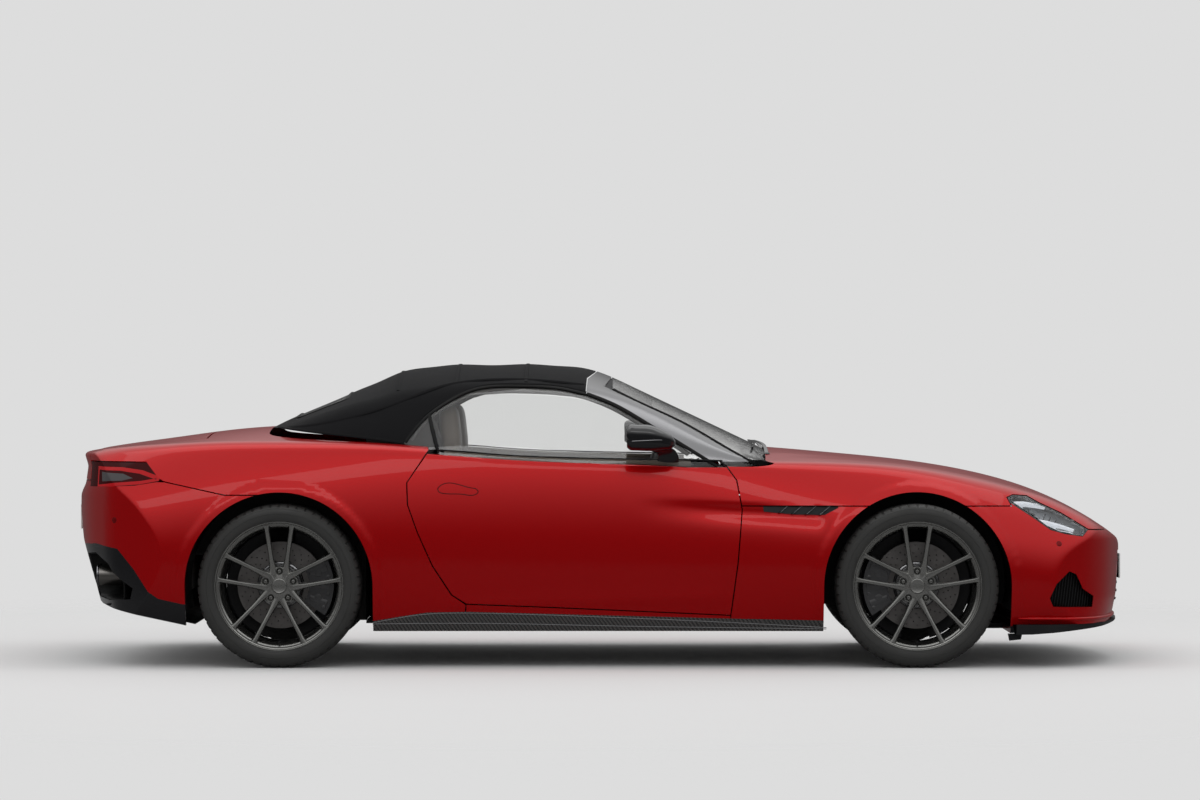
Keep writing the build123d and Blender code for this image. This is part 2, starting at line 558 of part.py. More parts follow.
COWL = (572.0, 790.0, 740.0, BULKHEAD_TOP_Z, 880.0)  # x, x, half width, z, z


def boxes(table):
    """One trimmed solid for each row. Columns: x, x, y, y, z, z, and True for a mirror image as well."""
    pieces = []
    for x0, x1, y0, y1, z0, z1, mirrored in table:
        piece = (span_box(x0, x1, y0, y1, z0, z1) & frame_room) - wells
        pieces.append(both(piece) if mirrored else piece)
    return Part() + pieces


floor = boxes([
    (-1050, 640, -900, 900, FLOOR_Z[0], FLOOR_Z[1], False),
    (-1050, 560, -TUNNEL_Y, TUNNEL_Y, FLOOR_Z[1], TUNNEL_TOP_Z, False),
    (-560, 560, -900, -770, FLOOR_Z[1], SILL_TOP_Z, True),
])
JACK_PADS = [(410, 510, -760, -690), (-930, -830, -760, -690)]  # x, x, y, y
JACK_PAD_Z = 158.0
for x0, x1, y0, y1 in JACK_PADS:
    floor += both(span_box(x0, x1, y0, y1, JACK_PAD_Z, FLOOR_Z[1] - 4))
add("floor_pan", floor - door_room)

bulkhead = boxes([
    (BULKHEAD_X[0], BULKHEAD_X[1], -790, 790, FLOOR_Z[1] + SEAT_GAP, BULKHEAD_TOP_Z, False),
    (COWL[0], COWL[1], -COWL[2], COWL[2], COWL[3], COWL[4], False),
    (640, 690, -960, -560, FLOOR_Z[1] + SEAT_GAP, 700, True),
    (BULKHEAD_X[1], 640, -790, -560, FLOOR_Z[1] + SEAT_GAP, 700, True),
])
bulkhead += span_box(640, COWL[1], -COWL[2], COWL[2], COWL[4], 911) & (cabin_volume(0) - cabin_volume(40))
bulkhead -= door_room
door_leaf = Part()
for leaf_z in DOOR_LEAF_Z:
    leaf_y = (-DOOR_LEAF_Y[1], -DOOR_LEAF_Y[0])
    bulkhead += both(span_box(*DOOR_LEAF_X, *leaf_y, leaf_z, leaf_z + LEAF))
    door_leaf += span_box(540, 602, *leaf_y, leaf_z + LEAF + SEAT_GAP, leaf_z + 2 * LEAF + SEAT_GAP)
add("front_bulkhead", bulkhead)
NODES["door_right"] = NODES["door_right"] + door_leaf
NODES["door_left"] = NODES["door_left"] + mirror(door_leaf, about=Plane.XZ)

leaf_y = (BONNET_LEAF_Y + SEAT_GAP, BONNET_LEAF_Y + SEAT_GAP + LEAF)
rails = boxes([
    (RAIL_X[0], RAIL_X[1], -RAIL_Y[1], -RAIL_Y[0], RAIL_Z[0], RAIL_Z[1], True),
    (CRASH_BEAM_X[0], CRASH_BEAM_X[1], -760, 760, RAIL_Z[0], RAIL_Z[1], False),
    (CRASH_BEAM_X[1] + SEAT_GAP, 2330, -RAIL_Y[1], -RAIL_Y[0], RAIL_Z[0], RAIL_Z[1], True),
    (BONNET_LEAF_X[0], BONNET_LEAF_X[1], leaf_y[0], leaf_y[1], RAIL_Z[1], 572, True),
])
TOW_EYE = (-300.0, 403.0, 8.0)  # y, z, thread radius
rails -= pipe_x(TOW_EYE[0], TOW_EYE[1], TOW_EYE[2], 0, along(RAIL_X[1]) - 20, along(CRASH_BEAM_X[1]) + 20)
add("front_rails", rails)
bonnet_leaf = span_box(*BONNET_LEAF_X, BONNET_LEAF_Y - LEAF, BONNET_LEAF_Y, 560, 660)
NODES["bonnet"] = NODES["bonnet"] + (both(bonnet_leaf) & outer)

leaf_y = (BOOT_LEAF_Y - SEAT_GAP - LEAF, BOOT_LEAF_Y - SEAT_GAP)
boot = boxes([
    (-2290, -1081, -BOOT_WALL_Y[1], BOOT_WALL_Y[1], BOOT_FLOOR_Z[0], BOOT_FLOOR_Z[1], False),
    (-2290, -1081, -BOOT_WALL_Y[1], -BOOT_WALL_Y[0], BOOT_FLOOR_Z[1] + SEAT_GAP, 860, True),
    (BOOT_LEAF_X[0], BOOT_LEAF_X[1], leaf_y[0], leaf_y[1], 860, 950, True),
    (-2330, -2290 - SEAT_GAP, -560, 560, BOOT_FLOOR_Z[0], 700, False),
    (-1081 + SEAT_GAP, -1050 - SEAT_GAP, -BOOT_WALL_Y[1], BOOT_WALL_Y[1], FLOOR_Z[1] + SEAT_GAP, 860, False),
    (-1040, -880, -980, -790, FLOOR_Z[1] + SEAT_GAP, 930, True),
])
rear_structure = boot - cabin_volume(-ROOF_SEAT) - both(span_box(-870, -800, -980, -700, 0, 1000))
add("rear_structure", rear_structure)
boot_leaf = span_box(*BOOT_LEAF_X, BOOT_LEAF_Y, BOOT_LEAF_Y + LEAF, 880, 1020)
NODES["boot_lid"] = NODES["boot_lid"] + (both(boot_leaf) & outer)

liners = []
for axle_x, inner_y in ((FRONT_AXLE_X, RAIL_Y[1] + SEAT_GAP), (REAR_AXLE_X, WELL_INNER_Y)):
    ring = cylinder_y(axle_x, TYRE_RADIUS, WELL_RADIUS + LINER_WALL, -940, -inner_y)
    ring -= cylinder_y(axle_x, TYRE_RADIUS, WELL_RADIUS, -941, -inner_y + 1)
    ring -= box(axle_x - 500, axle_x + 500, -941, -inner_y + 1, -200, 250)
    liners.append(ring)
add("wheel_liners", both((liners[0] + liners[1]) & body_volume(SKIN + 8)) - NODES["front_bulkhead"])

skirt = side_prism(SKIRT, -everywhere, everywhere) & shell
skirt_band = both(box(along(-1010), along(1000), -everywhere, -DOOR_INNER_Y - 25, 0, 290))
beside_skirts = NODES["rear_quarters"] + NODES["front_fenders"] + both(NODES["door_right"])
add("sill_skirts", (skirt & skirt_band) - beside_skirts)

ENGINE = (700.0, 1390.0, 310.0, 285.0, 780.0)  # x, x, half width, z, z
BEAM_Z = (225.0, 285.0)
add("engine_block", span_box(ENGINE[0], ENGINE[1], -ENGINE[2], ENGINE[2], ENGINE[3] + SEAT_GAP, ENGINE[4]))

for name, axle_x, width in (("front", FRONT_AXLE_X, FRONT_TYRE_WIDTH), ("rear", REAR_AXLE_X, REAR_TYRE_WIDTH)):
    ball_y = TYRE_FACE_Y - width / 2 - KINGPIN_INSET
    low, high = TYRE_RADIUS - 128 - SEAT_GAP, TYRE_RADIUS + 128 + SEAT_GAP
    beam = box(axle_x - 60, axle_x + 60, -455, 455, BEAM_Z[0], BEAM_Z[1])
    top_z = 330 - SEAT_GAP if name == "front" else 480 - SEAT_GAP
    beam += both(box(axle_x - 60, axle_x + 60, -455, -398, BEAM_Z[1], top_z))
    arms = box(axle_x - 18, axle_x + 18, -ball_y - 20, -430, low - 24, low)
    arms += box(axle_x - 18, axle_x + 18, -ball_y - 20, -486, high, high + 22)
    arms += box(axle_x - 18, axle_x + 18, -510, -486, low - 24, high + 22)
    add(name + "_suspension", beam + both(arms))

# ---------------------------------------------------------------- grille, splitter, plates
GRILLE = (340.0, 250.0, 495.0)  # half width, z, z
grille_zone = box(along(2150), NOSE_X + 20, -GRILLE[0], GRILLE[0], GRILLE[1], GRILLE[2])
NODES["front_bumper"] = NODES["front_bumper"] - grille_zone
bars = [box(along(2150), NOSE_X + 20, -GRILLE[0] + 0.3, GRILLE[0] - 0.3, z, z + 10) for z in range(272, 485, 36)]
grille_shell = body_volume(6) - body_volume(SKIN)
vents = (body_volume(VENT_RECESS) - inner) & vent_zone & fenders
add("grilles", (grille_shell & grille_zone & (Part() + bars)) + vents)

add("splitter", side_prism(SPLITTER, -945, 945) & plan_prism(SPLITTER_INSET))
PLATE_WIDTH, PLATE_HEIGHT, PLATE_THICKNESS = 520.0, 110.0, 6.0
PLATE_SCREW_SPACING = 440.0
PLATE_SCREW_RADIUS = 3.25
REAR_PLATE = (TAIL_X + 13, 645.0)  # outer face x, middle z
FRONT_PLATE = (NOSE_X - 8, 421.0)


def plate_box(face_x, middle_z, toward, extra):
    """The box of a plate whose outer face is at face_x and looks toward the sign given."""
    back_x = face_x - toward * PLATE_THICKNESS
    half_w, half_h = PLATE_WIDTH / 2 + extra, PLATE_HEIGHT / 2 + extra
    x0, x1 = sorted((face_x + toward * extra * 40, back_x - toward * extra))
    return box(x0, x1, -half_w, half_w, middle_z - half_h, middle_z + half_h)


def plate_screws(face_x, middle_z, toward):
    """Both screw holes, through the plate and a little into what carries it."""
    x0, x1 = sorted((face_x + toward, face_x - toward * (PLATE_THICKNESS + 9)))
    return both(pipe_x(PLATE_SCREW_SPACING / 2, middle_z, PLATE_SCREW_RADIUS, 0, x0, x1))


plates = Part()
for face_x, middle_z, toward, carrier in ((*REAR_PLATE, -1, "rear_bumper"), (*FRONT_PLATE, 1, "grilles")):
    room = plate_box(face_x, middle_z, toward, SEAT_GAP)
    screws = plate_screws(face_x, middle_z, toward)
    NODES[carrier] = NODES[carrier] - room - screws
    plates += plate_box(face_x, middle_z, toward, 0) - screws
add("number_plates", plates)

# ---------------------------------------------------------------- inside the cabin
SEAT_X = (-560.0, -60.0)
SEAT_Y = (190.0, 700.0)
HEADREST = [(-706, 918), (-602, 918), (-618, 1040), (-632, 1120), (-660, 1150), (-700, 1150), (-722, 1100),
            (-722, 1000)]
HEADREST_HALF_WIDTH = 140.0
seats = []
for side in (-1, 1):
    middle_y = side * (SEAT_Y[0] + SEAT_Y[1]) / 2
    half = (SEAT_Y[1] - SEAT_Y[0]) / 2
    cushion = box(along(SEAT_X[0]), along(SEAT_X[1]), middle_y - half, middle_y + half, FLOOR_Z[1] + SEAT_GAP, 420)
    back = side_prism([(-560, 415), (-440, 415), (-600, 925), (-690, 925)], middle_y - half, middle_y + half)
    head = side_prism(HEADREST, middle_y - HEADREST_HALF_WIDTH, middle_y + HEADREST_HALF_WIDTH)
    seats.append(cushion + back + head)
add("front_seats", seats[0] + seats[1])
rear_bench = span_box(-1046, -800, -640, 640, 400.6, 460)
rear_bench += side_prism([(-1046, 455), (-960, 455), (-1000, 890), (-1046, 890)], -640, 640)
rear_bench += both(span_box(-1046, -800, -640, -TUNNEL_Y - 30, FLOOR_Z[1] + SEAT_GAP, 405))
add("rear_seat", rear_bench - NODES["rear_structure"] - wells)
dash = side_prism([(559.7, 500), (330, 560), (300, 760), (400, 855), (559.7, 855)], -780, 780)
add("dashboard", (dash + span_box(-250, 340, -TUNNEL_Y + 10, TUNNEL_Y - 10, 400 + SEAT_GAP, 580)) & inner)
WHEEL_X, WHEEL_Y, WHEEL_Z = 190.0, 400.0, 760.0
rim_ring = revolve(Plane.XZ * Pos(182, 0) * Circle(15), axis=Axis.Z)
steering = rim_ring + Cylinder(50, 40) + Box(34, 362, 18) + Pos(-90, 0, 0) * Box(182, 34, 18)
steering += Pos(0, 0, -100) * Cylinder(28, 200)
steering = Pos(along(WHEEL_X), WHEEL_Y, WHEEL_Z) * Rot(0, -66, 0) * steering
add("steering_wheel", steering - NODES["dashboard"])

for name, shape in NODES.items():
    export_step(Part() + shape if isinstance(shape, ShapeList) else shape, "parts/" + name + ".step")
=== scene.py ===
"""A convertible car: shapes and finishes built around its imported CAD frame."""

import math

import bmesh
import bpy
import numpy as np
from bpy.props import FloatProperty, FloatVectorProperty, PointerProperty
from mathutils import Matrix, Vector
from mathutils.bvhtree import BVHTree


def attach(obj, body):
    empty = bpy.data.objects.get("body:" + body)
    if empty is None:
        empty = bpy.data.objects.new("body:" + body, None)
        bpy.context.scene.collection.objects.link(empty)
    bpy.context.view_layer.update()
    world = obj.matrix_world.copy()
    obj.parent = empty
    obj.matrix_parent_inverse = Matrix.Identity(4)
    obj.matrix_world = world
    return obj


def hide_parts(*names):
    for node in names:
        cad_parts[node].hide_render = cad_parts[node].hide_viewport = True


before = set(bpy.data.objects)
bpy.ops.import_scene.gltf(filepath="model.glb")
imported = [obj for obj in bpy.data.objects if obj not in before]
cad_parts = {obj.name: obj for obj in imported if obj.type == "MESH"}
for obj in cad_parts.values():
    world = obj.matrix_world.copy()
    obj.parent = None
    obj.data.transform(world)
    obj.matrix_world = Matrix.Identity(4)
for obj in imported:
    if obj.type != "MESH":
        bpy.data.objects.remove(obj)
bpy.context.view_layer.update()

bl_info = {
    "name": "Convertible car",
    "version": (1, 0, 0),
    "blender": (4, 5, 0),
    "location": "View3D > Sidebar > Convertible",
    "description": "Builds the visible shapes and finishes of a two-plus-two convertible",
    "category": "Object",
}

# ---------------------------------------------------------------- tables of the body, in millimetres
# Columns: x, sill z, sill y, widest z, widest y, crest z, crest y, middle z.
HULL = [
    (-2470, 300, 760, 700, 850, 905, 600, 915),
    (-2250, 190, 840, 680, 925, 950, 680, 958),
    (-1950, 150, 885, 660, 962, 978, 770, 1001),
    (-1677, 150, 900, 640, 978, 988, 820, 1037),
    (-1410, 150, 900, 630, 980, 988, 845, 1055),
    (-900, 150, 895, 640, 958, 974, 862, 1040),
    (-300, 150, 890, 640, 938, 931, 868, 990),
    (300, 150, 890, 640, 937, 915, 862, 975),
    (694, 150, 892, 630, 948, 901, 848, 961),
    (1050, 150, 896, 610, 968, 894, 822, 932),
    (1395, 150, 896, 600, 976, 868, 800, 897),
    (1768, 150, 885, 560, 955, 790, 770, 830),
    (2100, 160, 850, 500, 905, 690, 690, 710),
    (2470, 200, 780, 430, 820, 455, 560, 470),
]
# Columns: x, belt z, belt y, shoulder z, shoulder y, middle z.
CABIN = [
    (-1620, 860, 780, 960, 540, 975),
    (-1450, 860, 824, 1034, 590, 1070),
    (-1300, 860, 842, 1090, 630, 1136),
    (-1117, 860, 850, 1148, 650, 1214),
    (-900, 860, 855, 1200, 655, 1304),
    (-600, 860, 860, 1240, 650, 1336),
    (-300, 860, 862, 1242, 645, 1337),
    (-9, 860, 862, 1214, 645, 1302),
    (150, 860, 860, 1166, 668, 1234),
    (400, 860, 856, 1050, 735, 1116),
    (617, 860, 848, 944, 780, 1013),
    (800, 840, 830, 880, 780, 926),
]
CABIN_BULGE = 26.0
CABIN_CORE_Z = 620.0  # the strips on the cabin face away from a line at this height
# How far the nose and the tail reach at each height and at each distance from the middle.
NOSE_BY_Z = [(150, 2300), (215, 2322), (300, 2345), (440, 2362), (510, 2370), (556, 2352), (598, 2300),
             (640, 2236)]
TAIL_BY_Z = [(150, -2150), (235, -2240), (420, -2300), (545, -2345), (690, -2370), (745, -2366), (800, -2332),
             (880, -2318), (930, -2338), (948, -2313), (953, -2240)]
NOSE_BY_Y = [(0, 2370), (200, 2360), (400, 2330), (550, 2295), (690, 2250), (790, 2195), (862, 2130),
             (930, 2030), (980, 1920), (1010, 1800)]
TAIL_BY_Y = [(0, -2370), (200, -2361), (400, -2334), (560, -2298), (690, -2252), (800, -2200), (880, -2140),
             (940, -2040), (985, -1920), (1010, -1800)]
NOSE_X, TAIL_X = 2370.0, -2370.0
PLAN_SHARE = 0.6  # how much of an inset draws the nose and the tail in sideways
FRONT_AXLE, REAR_AXLE, WHEEL_Z = 1395.0, -1410.0, 360.0
ARCH_RADIUS, SKIN = 412.0, 22.0
FLARE_WIDTH, FLARE_DEPTH = 38.0, 5.0
NOSE_BLEND, TAIL_BLEND = 26.0, 22.0  # how softly the body's sides pass into its nose and its tail
OUTSIDE_Y = 1100.0  # a plane beside the car, where the cutting prisms end
SIDES = (("right", -1), ("left", 1))


def spline(table, column):
    """A natural cubic curve through one column of a table, over its first column."""
    xs = np.array([row[0] for row in table], float)
    ys = np.array([row[column] for row in table], float)
    n, h = len(xs), np.diff(xs)
    left, right = np.eye(n), np.zeros(n)
    for i in range(1, n - 1):
        left[i, i - 1:i + 2] = h[i - 1], 2 * (h[i - 1] + h[i]), h[i]
        right[i] = 6 * ((ys[i + 1] - ys[i]) / h[i] - (ys[i] - ys[i - 1]) / h[i - 1])
    m = np.linalg.solve(left, right)

    def value(x):
        x = np.clip(np.asarray(x, float), xs[0], xs[-1])
        i = np.clip(np.searchsorted(xs, x) - 1, 0, n - 2)
        a, b = (xs[i + 1] - x) / h[i], (x - xs[i]) / h[i]
        return a * ys[i] + b * ys[i + 1] + ((a ** 3 - a) * m[i] + (b ** 3 - b) * m[i + 1]) * h[i] ** 2 / 6

    return value


def arc(p0, p1, p2, n):
    """n points on the circle through three points, from the first to the last."""
    (ax, ay), (bx, by), (cx, cy) = p0, p1, p2
    d = 2 * (ax * (by - cy) + bx * (cy - ay) + cx * (ay - by))
    a, b, c = ax ** 2 + ay ** 2, bx ** 2 + by ** 2, cx ** 2 + cy ** 2
    ux = (a * (by - cy) + b * (cy - ay) + c * (ay - by)) / d
    uy = (a * (cx - bx) + b * (ax - cx) + c * (bx - ax)) / d
    r = math.hypot(ax - ux, ay - uy)
    t0, t1, t2 = (math.atan2(y - uy, x - ux) for x, y in (p0, p1, p2))
    mid = (t1 - t0) % (2 * math.pi)
    end = (t2 - t0) % (2 * math.pi)
    if mid > end:
        end -= 2 * math.pi
    t = t0 + end * np.linspace(0, 1, n)
    return np.column_stack((ux + r * np.cos(t), uy + r * np.sin(t)))


def rounded_corner(first, second, reach, n):
    """Joins two runs of points that meet at a corner, with the corner rounded off."""
    reach = min(reach, *(0.45 * np.linalg.norm(run[0] - run[-1]) for run in (first, second)))
    gap_a = np.linalg.norm(first - first[-1], axis=1)
    gap_b = np.linalg.norm(second - second[0], axis=1)
    a, b = first[gap_a > reach], second[gap_b > reach]
    t = np.linspace(0, 1, n)[:, None]
    bend = (1 - t) ** 2 * a[-1] + 2 * t * (1 - t) * first[-1] + t ** 2 * b[0]
    return a, bend[1:-1], b


def resample(points, n):
    """n points evenly spaced along a run of points."""
    points = np.asarray(points, float)
    length = np.concatenate(([0], np.cumsum(np.linalg.norm(np.diff(points, axis=0), axis=1))))
    t = np.linspace(0, length[-1], n)
    return np.column_stack([np.interp(t, length, points[:, k]) for k in range(points.shape[1])])


HULL_CURVES = [spline(HULL, k) for k in range(1, 8)]
CABIN_CURVES = [spline(CABIN, k) for k in range(1, 6)]
NOSE_PLAN, TAIL_PLAN = spline(NOSE_BY_Y, 1), spline(TAIL_BY_Y, 1)
CREST_REACH, SHOULDER_REACH = 46.0, 52.0  # how far the rounding reaches from a section's corner


def hull_half(x, inset, counts):
    """Right half of a body section as (distance from the middle, z), from the floor's middle to the top."""
    sill_z, sill_y, wide_z, wide_y, crest_z, crest_y, middle_z = (float(c(x)) for c in HULL_CURVES)
    low = (sill_y - inset, sill_z + inset)
    wide = (wide_y - inset, wide_z)
    crest = (crest_y - inset, crest_z - inset)
    side = arc(low, wide, crest, 160)
    top = arc(crest, (0, middle_z - inset), (-crest[0], crest[1]), 241)[:121]
    side, bend, top = rounded_corner(side, top, CREST_REACH, 24)
    floor = np.column_stack((np.linspace(0, low[0], counts[0])[:-1], np.full(counts[0] - 1, low[1])))
    side = resample(side, counts[1])
    bend = resample(np.vstack((side[-1:], bend, top[:1])), counts[2])[1:-1]
    top = resample(top, counts[3])
    top[-1] = (0, middle_z - inset)
    return np.vstack((floor, side, bend, top))


def smooth_step(low, high, value):
    """0 up to the low value, 1 from the high one on, and an even ease between them."""
    t = np.clip((value - low) / (high - low), 0, 1)
    return t * t * (3 - 2 * t)


def soft_min(a, b, blend):
    """The lesser of two values, rounded off where they are nearer than the blend."""
    h = np.maximum(blend - np.abs(a - b), 0)
    return np.minimum(a, b) - h * h / (4 * blend)


def by_height(table, z):
    """The reach that a table gives at each height, its corners smoothed."""
    rows = np.array(table, float)
    fine = np.linspace(rows[0, 0], rows[-1, 0], 400)
    values = np.interp(fine, rows[:, 0], rows[:, 1])
    kernel = np.hanning(13)[1:-1]
    padded = np.concatenate((np.full(5, values[0]), values, np.full(5, values[-1])))
    values = np.convolve(padded, kernel / kernel.sum(), "valid")
    reach = np.interp(z, fine, values)
    limit = rows[:, 1].max() if rows[0, 1] > 0 else rows[:, 1].min()
    return np.where(np.abs(reach) > abs(limit), limit, reach)


def end_limits(y, z, inset):
    """How far forward and how far back the body reaches at a place of its section."""
    y = np.abs(y) + inset * PLAN_SHARE
    front = NOSE_X - np.hypot(NOSE_X - NOSE_PLAN(y), NOSE_X - by_height(NOSE_BY_Z, z)) - inset
    back = TAIL_X + np.hypot(TAIL_PLAN(y) - TAIL_X, by_height(TAIL_BY_Z, z) - TAIL_X) + inset
    return front, back


def side_details(x, y, z):
    """Outward change of the body side: flared arches, the scallop behind the front wheel, the swage."""
    change = np.zeros_like(x)
    edge = ARCH_RADIUS + FLARE_WIDTH
    for axle in (FRONT_AXLE, REAR_AXLE):
        r = np.hypot(x - axle, z - WHEEL_Z)
        change += FLARE_DEPTH * (1 - smooth_step(edge - 3, edge + 3, r))
    crease = 752 - 0.055 * (x - 200)
    below = (crease - z) / 74.0
    ramp = smooth_step(120, 640, x) * (1 - smooth_step(950, 1010, x))
    hollow = np.where(below > 0, 1 - np.exp(-(below * 3.2) ** 2), 0)
    hollow = hollow * np.exp(-np.maximum(below - 0.55, 0) ** 2 * 2.4)
    change -= 15 * ramp * hollow
    swage = np.exp(-((z - 300 - 0.03 * x) / 34.0) ** 2)
    change += 5.0 * swage * smooth_step(-820, -500, x) * (1 - smooth_step(420, 640, x))
    on_side = smooth_step(600, 800, np.abs(y))
    return change * on_side


def top_details(x, y):
    """Change in height of the body's top: the bonnet's creases and the humps over the front wheels."""
    away = np.abs(y)
    line = 470 + 0.12 * (x - 700)
    rise = 7.0 * (smooth_step(line - 30, line, away) - smooth_step(line, line + 240, away))
    change = rise * smooth_step(640, 900, x) * (1 - smooth_step(1900, 2150, x))
    hump = 5.0 * np.exp(-((away - 700) / 90.0) ** 2)
    return change + hump * smooth_step(700, 1000, x) * (1 - smooth_step(1700, 1950, x))


def whole_ring(half):
    """Both halves of a section whose right half runs from the middle of the floor to the top."""
    return np.vstack((half, half[1:-1][::-1] * (-1, 1)))


def stacked(xs, rings):
    """Rings given as (y, z), each at its own x, as rows of points."""
    rows = np.zeros((len(xs), rings.shape[1], 3))
    rows[:, :, 0] = np.asarray(xs)[:, None]
    rows[:, :, 1:] = rings
    return rows


def stations(table, step):
    """Places along X from the first row of a table to its last, about one step apart."""
    first, last = table[0][0], table[-1][0]
    return np.linspace(first, last, int((last - first) / step) + 1)


def body_mesh_data(inset, step, ring_counts, cap_rings, details=True):
    """Points and faces of the closed body below the belt, drawn in by the inset."""
    xs = stations(HULL, step)
    rings = np.array([whole_ring(hull_half(x, inset, ring_counts)) for x in xs])
    shares = np.linspace(0, 1, cap_rings + 1)[1:-1]
    caps, centres = [], []
    for x, ring in ((xs[0], rings[0]), (xs[-1], rings[-1])):
        centre = np.array((0, ring[:, 1].min() * 0.5 + ring[:, 1].max() * 0.5))
        caps.append(stacked([x] * len(shares), np.array([ring + (centre - ring) * s for s in shares])))
        centres.append((x, *centre))
    rows = np.concatenate((caps[0][::-1], stacked(xs, rings), caps[1]))
    x, y, z = np.vstack((rows.reshape(-1, 3), centres)).T
    front, back = end_limits(y, z, inset)
    x = soft_min(x, front, NOSE_BLEND)
    x = -soft_min(-x, -back, TAIL_BLEND)
    if details:
        y = y + np.sign(y) * side_details(x, y, z)
        z = z + top_details(x, y) * smooth_step(650, 760, z)
    return np.column_stack((x, -y, z)), ring_mesh(rows)[1]


def cabin_half(x, inset, n=26):
    """Right half of a cabin section as (distance from the middle, z), from the belt's middle to the top."""
    belt_z, belt_y, shoulder_z, shoulder_y, middle_z = (float(c(x)) for c in CABIN_CURVES)
    belt = (belt_y - inset, belt_z)
    shoulder = (shoulder_y - 0.7 * inset, shoulder_z - 0.7 * inset)
    mean = ((belt[0] + shoulder[0]) / 2 + CABIN_BULGE, (belt[1] + shoulder[1]) / 2 + CABIN_BULGE / 2)
    side = arc(belt, mean, shoulder, 80)
    top = arc(shoulder, (0, middle_z - inset), (-shoulder[0], shoulder[1]), 121)[:61]
    side, bend, top = rounded_corner(side, top, SHOULDER_REACH, 22)
    side = resample(side, n)
    bend = resample(np.vstack((side[-1:], bend, top[:1])), 12)[1:-1]
    top = resample(top, n)
    floor = np.column_stack((np.linspace(0, belt[0], 6)[:-1], np.full(5, belt[1])))
    return np.vstack((floor, side, bend, top))


def cabin_mesh_data(inset, step=18.0):
    """Points and faces of the volume inside the glass and the roof."""
    xs = stations(CABIN, step)
    return ring_mesh(stacked(xs, np.array([whole_ring(cabin_half(x, inset)) for x in xs]) * (-1, 1)))


def ring_mesh(rows, caps=True):
    """Points and faces through rows of closed rings, the first and the last ring closed with fans."""
    n_rows, count = rows.shape[:2]
    points = rows.reshape(-1, 3)
    faces = []
    for r in range(n_rows - 1):
        a = r * count + np.arange(count)
        b = r * count + (np.arange(count) + 1) % count
        faces.append(np.column_stack((a, b, b + count, a + count)))
    faces = [tuple(f) for f in np.vstack(faces).tolist()]
    if caps:
        points = np.vstack((points, rows[0].mean(axis=0), rows[-1].mean(axis=0)))
        first, last = len(points) - 2, len(points) - 1
        top = (n_rows - 1) * count
        for i in range(count):
            j = (i + 1) % count
            faces.append((j, i, first))
            faces.append((top + i, top + j, last))
    return points, faces


# ---------------------------------------------------------------- meshes
MM = 0.001  # the tables are in millimetres, the scene is in metres


def linked(name, data):
    """A new object in the scene."""
    obj = bpy.data.objects.new(name, data)
    bpy.context.scene.collection.objects.link(obj)
    return obj


def new_object(name, points, faces, scale=MM, weld=0.0):
    """A mesh object with its normals turned outwards. Points are in millimetres; the weld is in metres."""
    mesh = bpy.data.meshes.new(name)
    mesh.from_pydata((np.asarray(points, float) * scale).tolist(), [], [tuple(f) for f in faces])
    bm = bmesh.new()
    bm.from_mesh(mesh)
    if weld:
        bmesh.ops.remove_doubles(bm, verts=bm.verts, dist=weld)
    bmesh.ops.recalc_face_normals(bm, faces=bm.faces)
    bm.to_mesh(mesh)
    bm.free()
    return shade(linked(name, mesh))


def shade(obj, angle=35.0):
    """Smooth shading, with the edges sharper than an angle kept crisp."""
    obj.data.shade_smooth()
    obj.data.set_sharp_from_angle(angle=math.radians(angle))
    return obj


def apply_modifiers(obj):
    """Makes the shape that the modifiers give the object's own mesh."""
    bpy.context.view_layer.update()
    graph = bpy.context.evaluated_depsgraph_get()
    mesh = bpy.data.meshes.new_from_object(obj.evaluated_get(graph))
    old = obj.data
    obj.modifiers.clear()
    obj.data = mesh
    if old.users == 0:
        bpy.data.meshes.remove(old)
    return obj


def cut(obj, other, operation="DIFFERENCE", keep=True):
    """One boolean step, applied at once. The other object is deleted unless it is kept."""
    modifier = obj.modifiers.new("cut", "BOOLEAN")
    modifier.operation, modifier.solver, modifier.object = operation, "MANIFOLD", other
    apply_modifiers(obj)
    if not keep:
        discard(other)
    return obj


def discard(*objects):
    """Deletes objects and the meshes that nothing else uses."""
    for obj in objects:
        mesh = obj.data
        bpy.data.objects.remove(obj)
        if mesh is not None and mesh.users == 0:
            bpy.data.meshes.remove(mesh)


def duplicate(obj, name):
    """A copy of an object with a mesh of its own."""
    other = obj.copy()
    other.data = obj.data.copy()
    other.name = name
    bpy.context.scene.collection.objects.link(other)
    return other


def turn_over(obj):
    """Moves a shape to the other side of the car."""
    obj.data.transform(Matrix.Diagonal((1, -1, 1, 1)))
    obj.data.flip_normals()
    return obj


def mirrored(obj, name):
    """The same piece on the other side of the car."""
    return turn_over(duplicate(obj, name))


def joined(name, objects):
    """Several meshes as one object, with their materials kept."""
    bm = bmesh.new()
    materials = []
    for obj in objects:
        start = len(bm.faces)
        bm.from_mesh(obj.data)
        bm.faces.ensure_lookup_table()
        slots = list(obj.data.materials)
        for face in bm.faces[start:]:
            material = slots[face.material_index] if slots else None
            if material not in materials:
                materials.append(material)
            face.material_index = materials.index(material)
    mesh = bpy.data.meshes.new(name)
    bm.to_mesh(mesh)
    bm.free()
    for material in materials:
        mesh.materials.append(material)
    result = linked(name, mesh)
    discard(*objects)
    return result


def extruded(name, table, low, high, point):
    """A solid whose outline is repeated at both its ends. A function turns (a, b, end) into a point."""
    n = len(table)
    points = [point(a, b, end) for end in (low, high) for a, b in table]
    faces = [tuple(range(n)), tuple(range(2 * n - 1, n - 1, -1))]
    faces += [(i, i + n, (i + 1) % n + n, (i + 1) % n) for i in range(n)]
    return new_object(name, points, faces)


def prism(table, y0, y1):
    """The solid between two planes of constant y with the outline given as (x, z)."""
    return extruded("prism", table, y0, y1, lambda x, z, y: (x, y, z))


